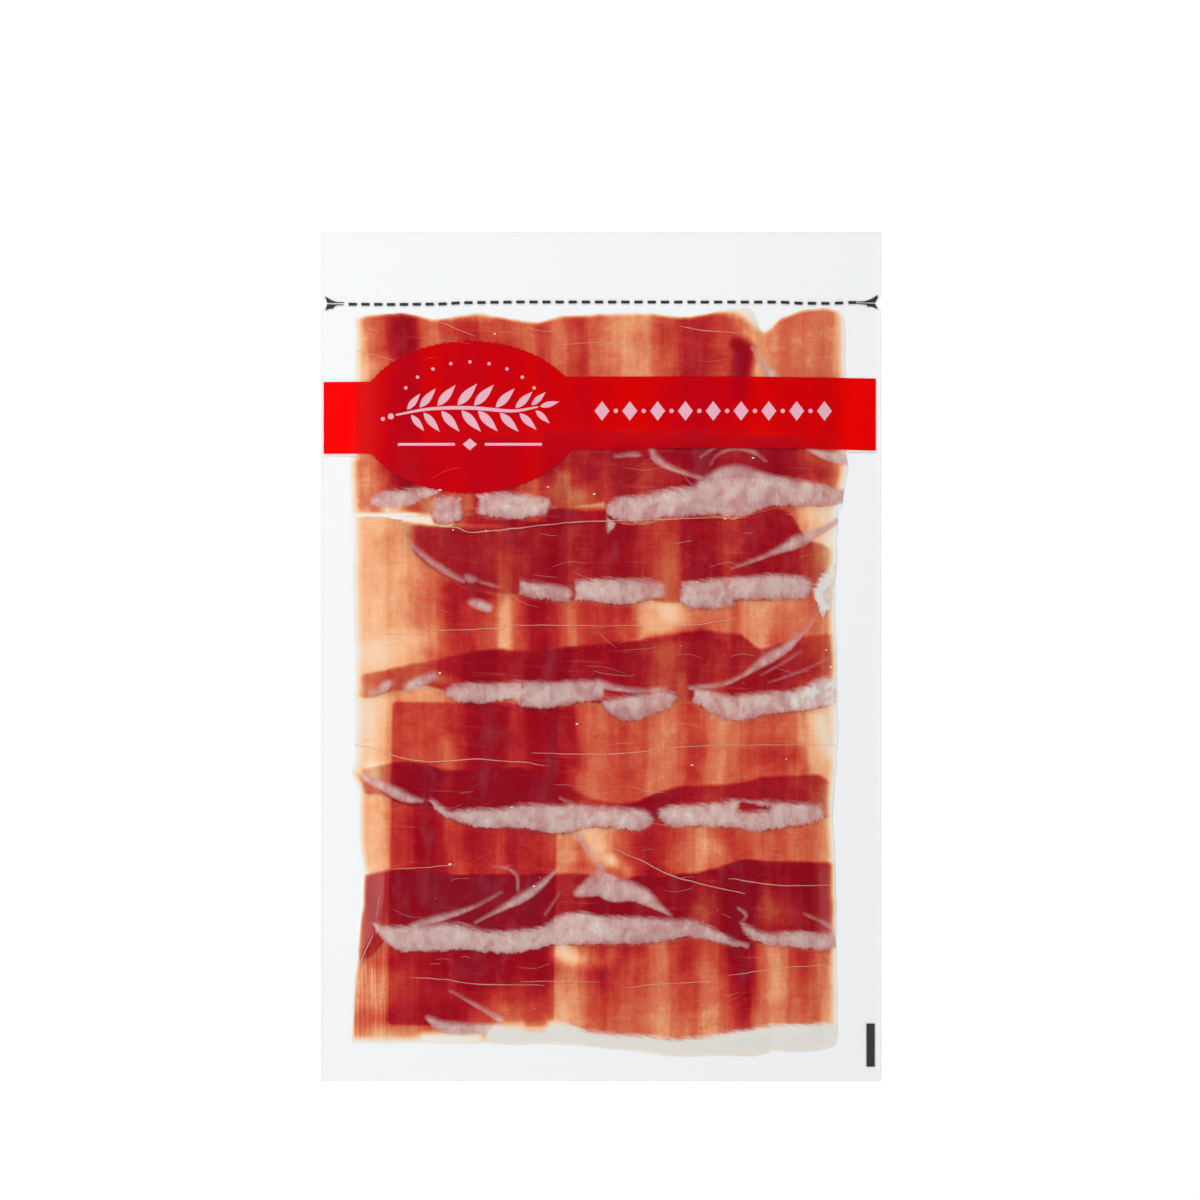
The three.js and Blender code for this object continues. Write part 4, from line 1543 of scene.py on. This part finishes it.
sprig = []
stem = spine([(398, 414, 1), (430, 409, 1), (470, 408, 1), (512, 411, 1), (544, 405, 1)], 10)
sprig.append(ribbon([(396, 415, 0.9), (430, 409, 1.5), (470, 408, 1.8),
                     (512, 411, 1.5), (538, 407, 0.8)]))
for i, at in enumerate(np.linspace(0.08, 0.90, 8)):
    p = stem[int(at * (len(stem) - 1))]
    size = 25 * math.sin(math.pi * (0.18 + 0.68 * at)) + 4
    for side in (-1, 1):
        shift = 4 if side > 0 else 0
        turn = side * math.radians(52 - 10 * at)
        bx, by = p[0] + shift, p[1] + side * 2.6
        sprig.append(leaf(bx, by, size, size * 0.17, turn))
sprig.append(leaf(540, 406.6, 20, 3.2, math.radians(-14)))
sprig.append(disc(391, 416.5, 3.0))
sprig.append(disc(383, 419.0, 2.0))
# A ruled line with a lozenge in the middle under the sprig.
for a, b in ((398, 455), (485, 542)):
    sprig.append([(a, 443.2), (b, 443.2), (b, 445.8), (a, 445.8)])
sprig.append([(470, 438.5), (477, 444.5), (470, 450.5), (463, 444.5)])
# An arc of nine dots above.
for i in range(9):
    a = math.radians(-150 + 15 * i)
    sprig.append(disc(470 + 74 * math.cos(a), 414 + 52 * math.sin(a), 1.7, 12))
printed("print_sprig", sprig, 0.065, PALE, cell=5)

row_of = []
for i in range(9):
    cx = 602 + i * 27.8
    row_of.append(
        [(cx - 7.5, 411), (cx, 401.2), (cx + 7.5, 411), (cx, 420.8)]
    )
    if i < 8:
        row_of.append(disc(cx + 13.9, 411, 2.2, 14))
printed("print_lozenges", row_of, 0.065, PALE, cell=6)


# --------------------------------------------------------- creases with painted highlights, and glints
def ridges(name, lines, mat, lift=0.03):
    """Fine raised folds in the film: each (half width, height in mm, knots)."""
    vs, quads, tris = [], [], []
    first = 0
    for half, high, knots in lines:
        p = spine([(x, y, half) for x, y in knots], 7)
        seed = int(abs(p[0, 0] * 7 + p[0, 1] * 13)) % 9973
        t = np.linspace(0, 1, len(p))
        p[:, 1] += 1.2 * (noise(p[:, 0], p[:, 1], seed, 9) - 0.5)
        w = half * (0.35 + 0.65 * np.sin(np.pi * np.clip(t, 0.02, 0.98)) ** 0.4)
        w *= 0.65 + 0.7 * noise(p[:, 0], p[:, 1], seed + 1, 6)
        d = np.gradient(p[:, :2], axis=0)
        d /= np.maximum(np.hypot(*d.T), 1e-9)[:, None]
        side = np.stack([-d[:, 1], d[:, 0]], -1) * w[:, None]
        a, b, c = p[:, :2] + side, p[:, :2], p[:, :2] - side
        za = sample(film_z, a[:, 0], a[:, 1]) + lift - 0.02
        zb = sample(film_z, b[:, 0], b[:, 1]) + lift + high * (w / max(half, 1e-6))
        zc = sample(film_z, c[:, 0], c[:, 1]) + lift - 0.02
        n = len(p)
        vs += [place(a[:, 0], a[:, 1], za), place(b[:, 0], b[:, 1], zb),
               place(c[:, 0], c[:, 1], zc)]
        i = np.arange(n - 1)
        for r0, r1 in ((0, 1), (1, 2), (2, 0)):
            quads.append(
                np.stack([r0 * n + i, r0 * n + i + 1, r1 * n + i + 1, r1 * n + i], -1)
                + first
            )
        tris += [[first, first + n, first + 2 * n],
                 [first + n - 1, first + 3 * n - 1, first + 2 * n - 1]]
        first += 3 * n
    ob = make(name, np.vstack(vs), [np.vstack(quads), np.array(tris)], None, mat)
    face_up(ob, None)
    return ob


rng = np.random.RandomState(17)
# The raised folds are real; their pale colour is a painted highlight.
ridges("film_crease_highlights", [(1.15 * h, 0.06, k) for h, k in CREASES], CREASE_HIGHLIGHT)
wisps = []
while len(wisps) < 80:
    x, y = rng.uniform(362, 830), rng.uniform(320, 1030)
    if sample(over, x, y) < 0.99 or 372 < y < 458 and 350 < x < 850:
        continue
    if x < 388 and y > 960:
        turn, length = rng.normal(1.5, 0.06), rng.uniform(12, 40)
    else:
        turn = rng.normal(0.0, 0.12 if rng.rand() < 0.8 else 0.5)
        length = rng.uniform(10, 44)
    dx, dy = 0.5 * length * math.cos(turn), 0.5 * length * math.sin(turn)
    bend = rng.uniform(-0.12, 0.12) * length
    if sample(over, x - dx, y - dy) < 0.9 or sample(over, x + dx, y + dy) < 0.9:
        continue
    wisps.append(
        (rng.uniform(0.2, 0.42), 0.05,
         [(x - dx, y - dy), (x, y + bend), (x + dx, y + dy)])
    )
ridges("film_wisps", wisps, WISP, lift=0.02)

glints = []
spots = [(x, y, rng.uniform(0.7, 1.4)) for x, y in GLINTS]
for _ in range(14):
    spots.append((rng.uniform(370, 828), rng.uniform(520, 1020), rng.uniform(0.3, 0.55)))
for x, y, r in spots:
    n = 7
    a0 = rng.uniform(0, 6)
    glints.append(
        [
            (x + r * rng.uniform(0.6, 1.25) * math.cos(a0 + 2 * math.pi * i / n) * 1.3,
             y + r * rng.uniform(0.5, 1.1) * math.sin(a0 + 2 * math.pi * i / n) * 0.8)
            for i in range(n)
        ]
    )
printed("film_glints", glints, 0.05, GLINT, cell=9)

# ------------------------------------------------------------------- CAD nodes
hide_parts("pouch")
for ob in meat:
    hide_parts("pouch")
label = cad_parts["back_label"]
label.data.materials.clear()
label.data.materials.append(label_material())

# ----------------------------------------------------- floor, light and camera
bpy.ops.mesh.primitive_plane_add(size=6, location=(0, 0, -0.00003))
floor = bpy.context.object
floor.name = "floor"
fm, fn, fo = material("floor")
pale = fn.noise(fn.scaled(0.01, 0.01, 0.01), 1.0, 2.0, 0.5, 20.0)
fp = principled(fn, fo)
fn.put(fp.inputs["Base Color"], fn.mix(pale, (0.90, 0.90, 0.90, 1), (0.92, 0.92, 0.92, 1)))
fp.inputs["Roughness"].default_value = 0.8
fp.inputs["Specular IOR Level"].default_value = 0.1
floor.data.materials.append(fm)

world = bpy.data.worlds.new("studio")
bpy.context.scene.world = world
world.use_nodes = True
world.node_tree.nodes["Background"].inputs[0].default_value = (0.97, 0.98, 1.0, 1)
world.node_tree.nodes["Background"].inputs[1].default_value = 0.10


def softbox(name, at, size, power):
    data = bpy.data.lights.new(name, "AREA")
    data.shape = "RECTANGLE"
    data.size, data.size_y = size
    data.energy = power
    data.color = (1.0, 0.995, 0.985)
    ob = bpy.data.objects.new(name, data)
    bpy.context.scene.collection.objects.link(ob)
    ob.location = at
    v = np.array(at, float)
    ob.rotation_euler = (
        math.atan2(math.hypot(v[0], v[1]), v[2]),
        0,
        math.atan2(v[1], v[0]) + math.pi / 2,
    )
    return ob


POWER = 12.4
softbox("light_left", (-0.85, 0.12, 0.85), (0.9, 0.8), 0.95 * POWER)
softbox("light_right", (1.25, -0.05, 1.05), (1.3, 0.9), 0.65 * POWER)
softbox("light_back", (-0.1, 1.25, 1.05), (1.3, 0.9), 1.05 * POWER)
softbox("light_front", (0.0, -1.25, 1.05), (1.3, 0.9), 0.70 * POWER)

cam_data = bpy.data.cameras.new("camera")
cam = bpy.data.objects.new("camera", cam_data)
bpy.context.scene.collection.objects.link(cam)
cam_data.lens = 100
cam_data.sensor_width = 36
cam_data.sensor_fit = "HORIZONTAL"
cam_data.clip_start = 0.01
width = 1200 * U
cam.location = ((600 - CX) * U, (CY - 600) * U, width * 100 / 36 + 0.001)
cam.rotation_euler = (0, 0, 0)
bpy.context.scene.camera = cam

bpy.context.scene.view_settings.view_transform = "Standard"
bpy.context.scene.view_settings.look = "None"
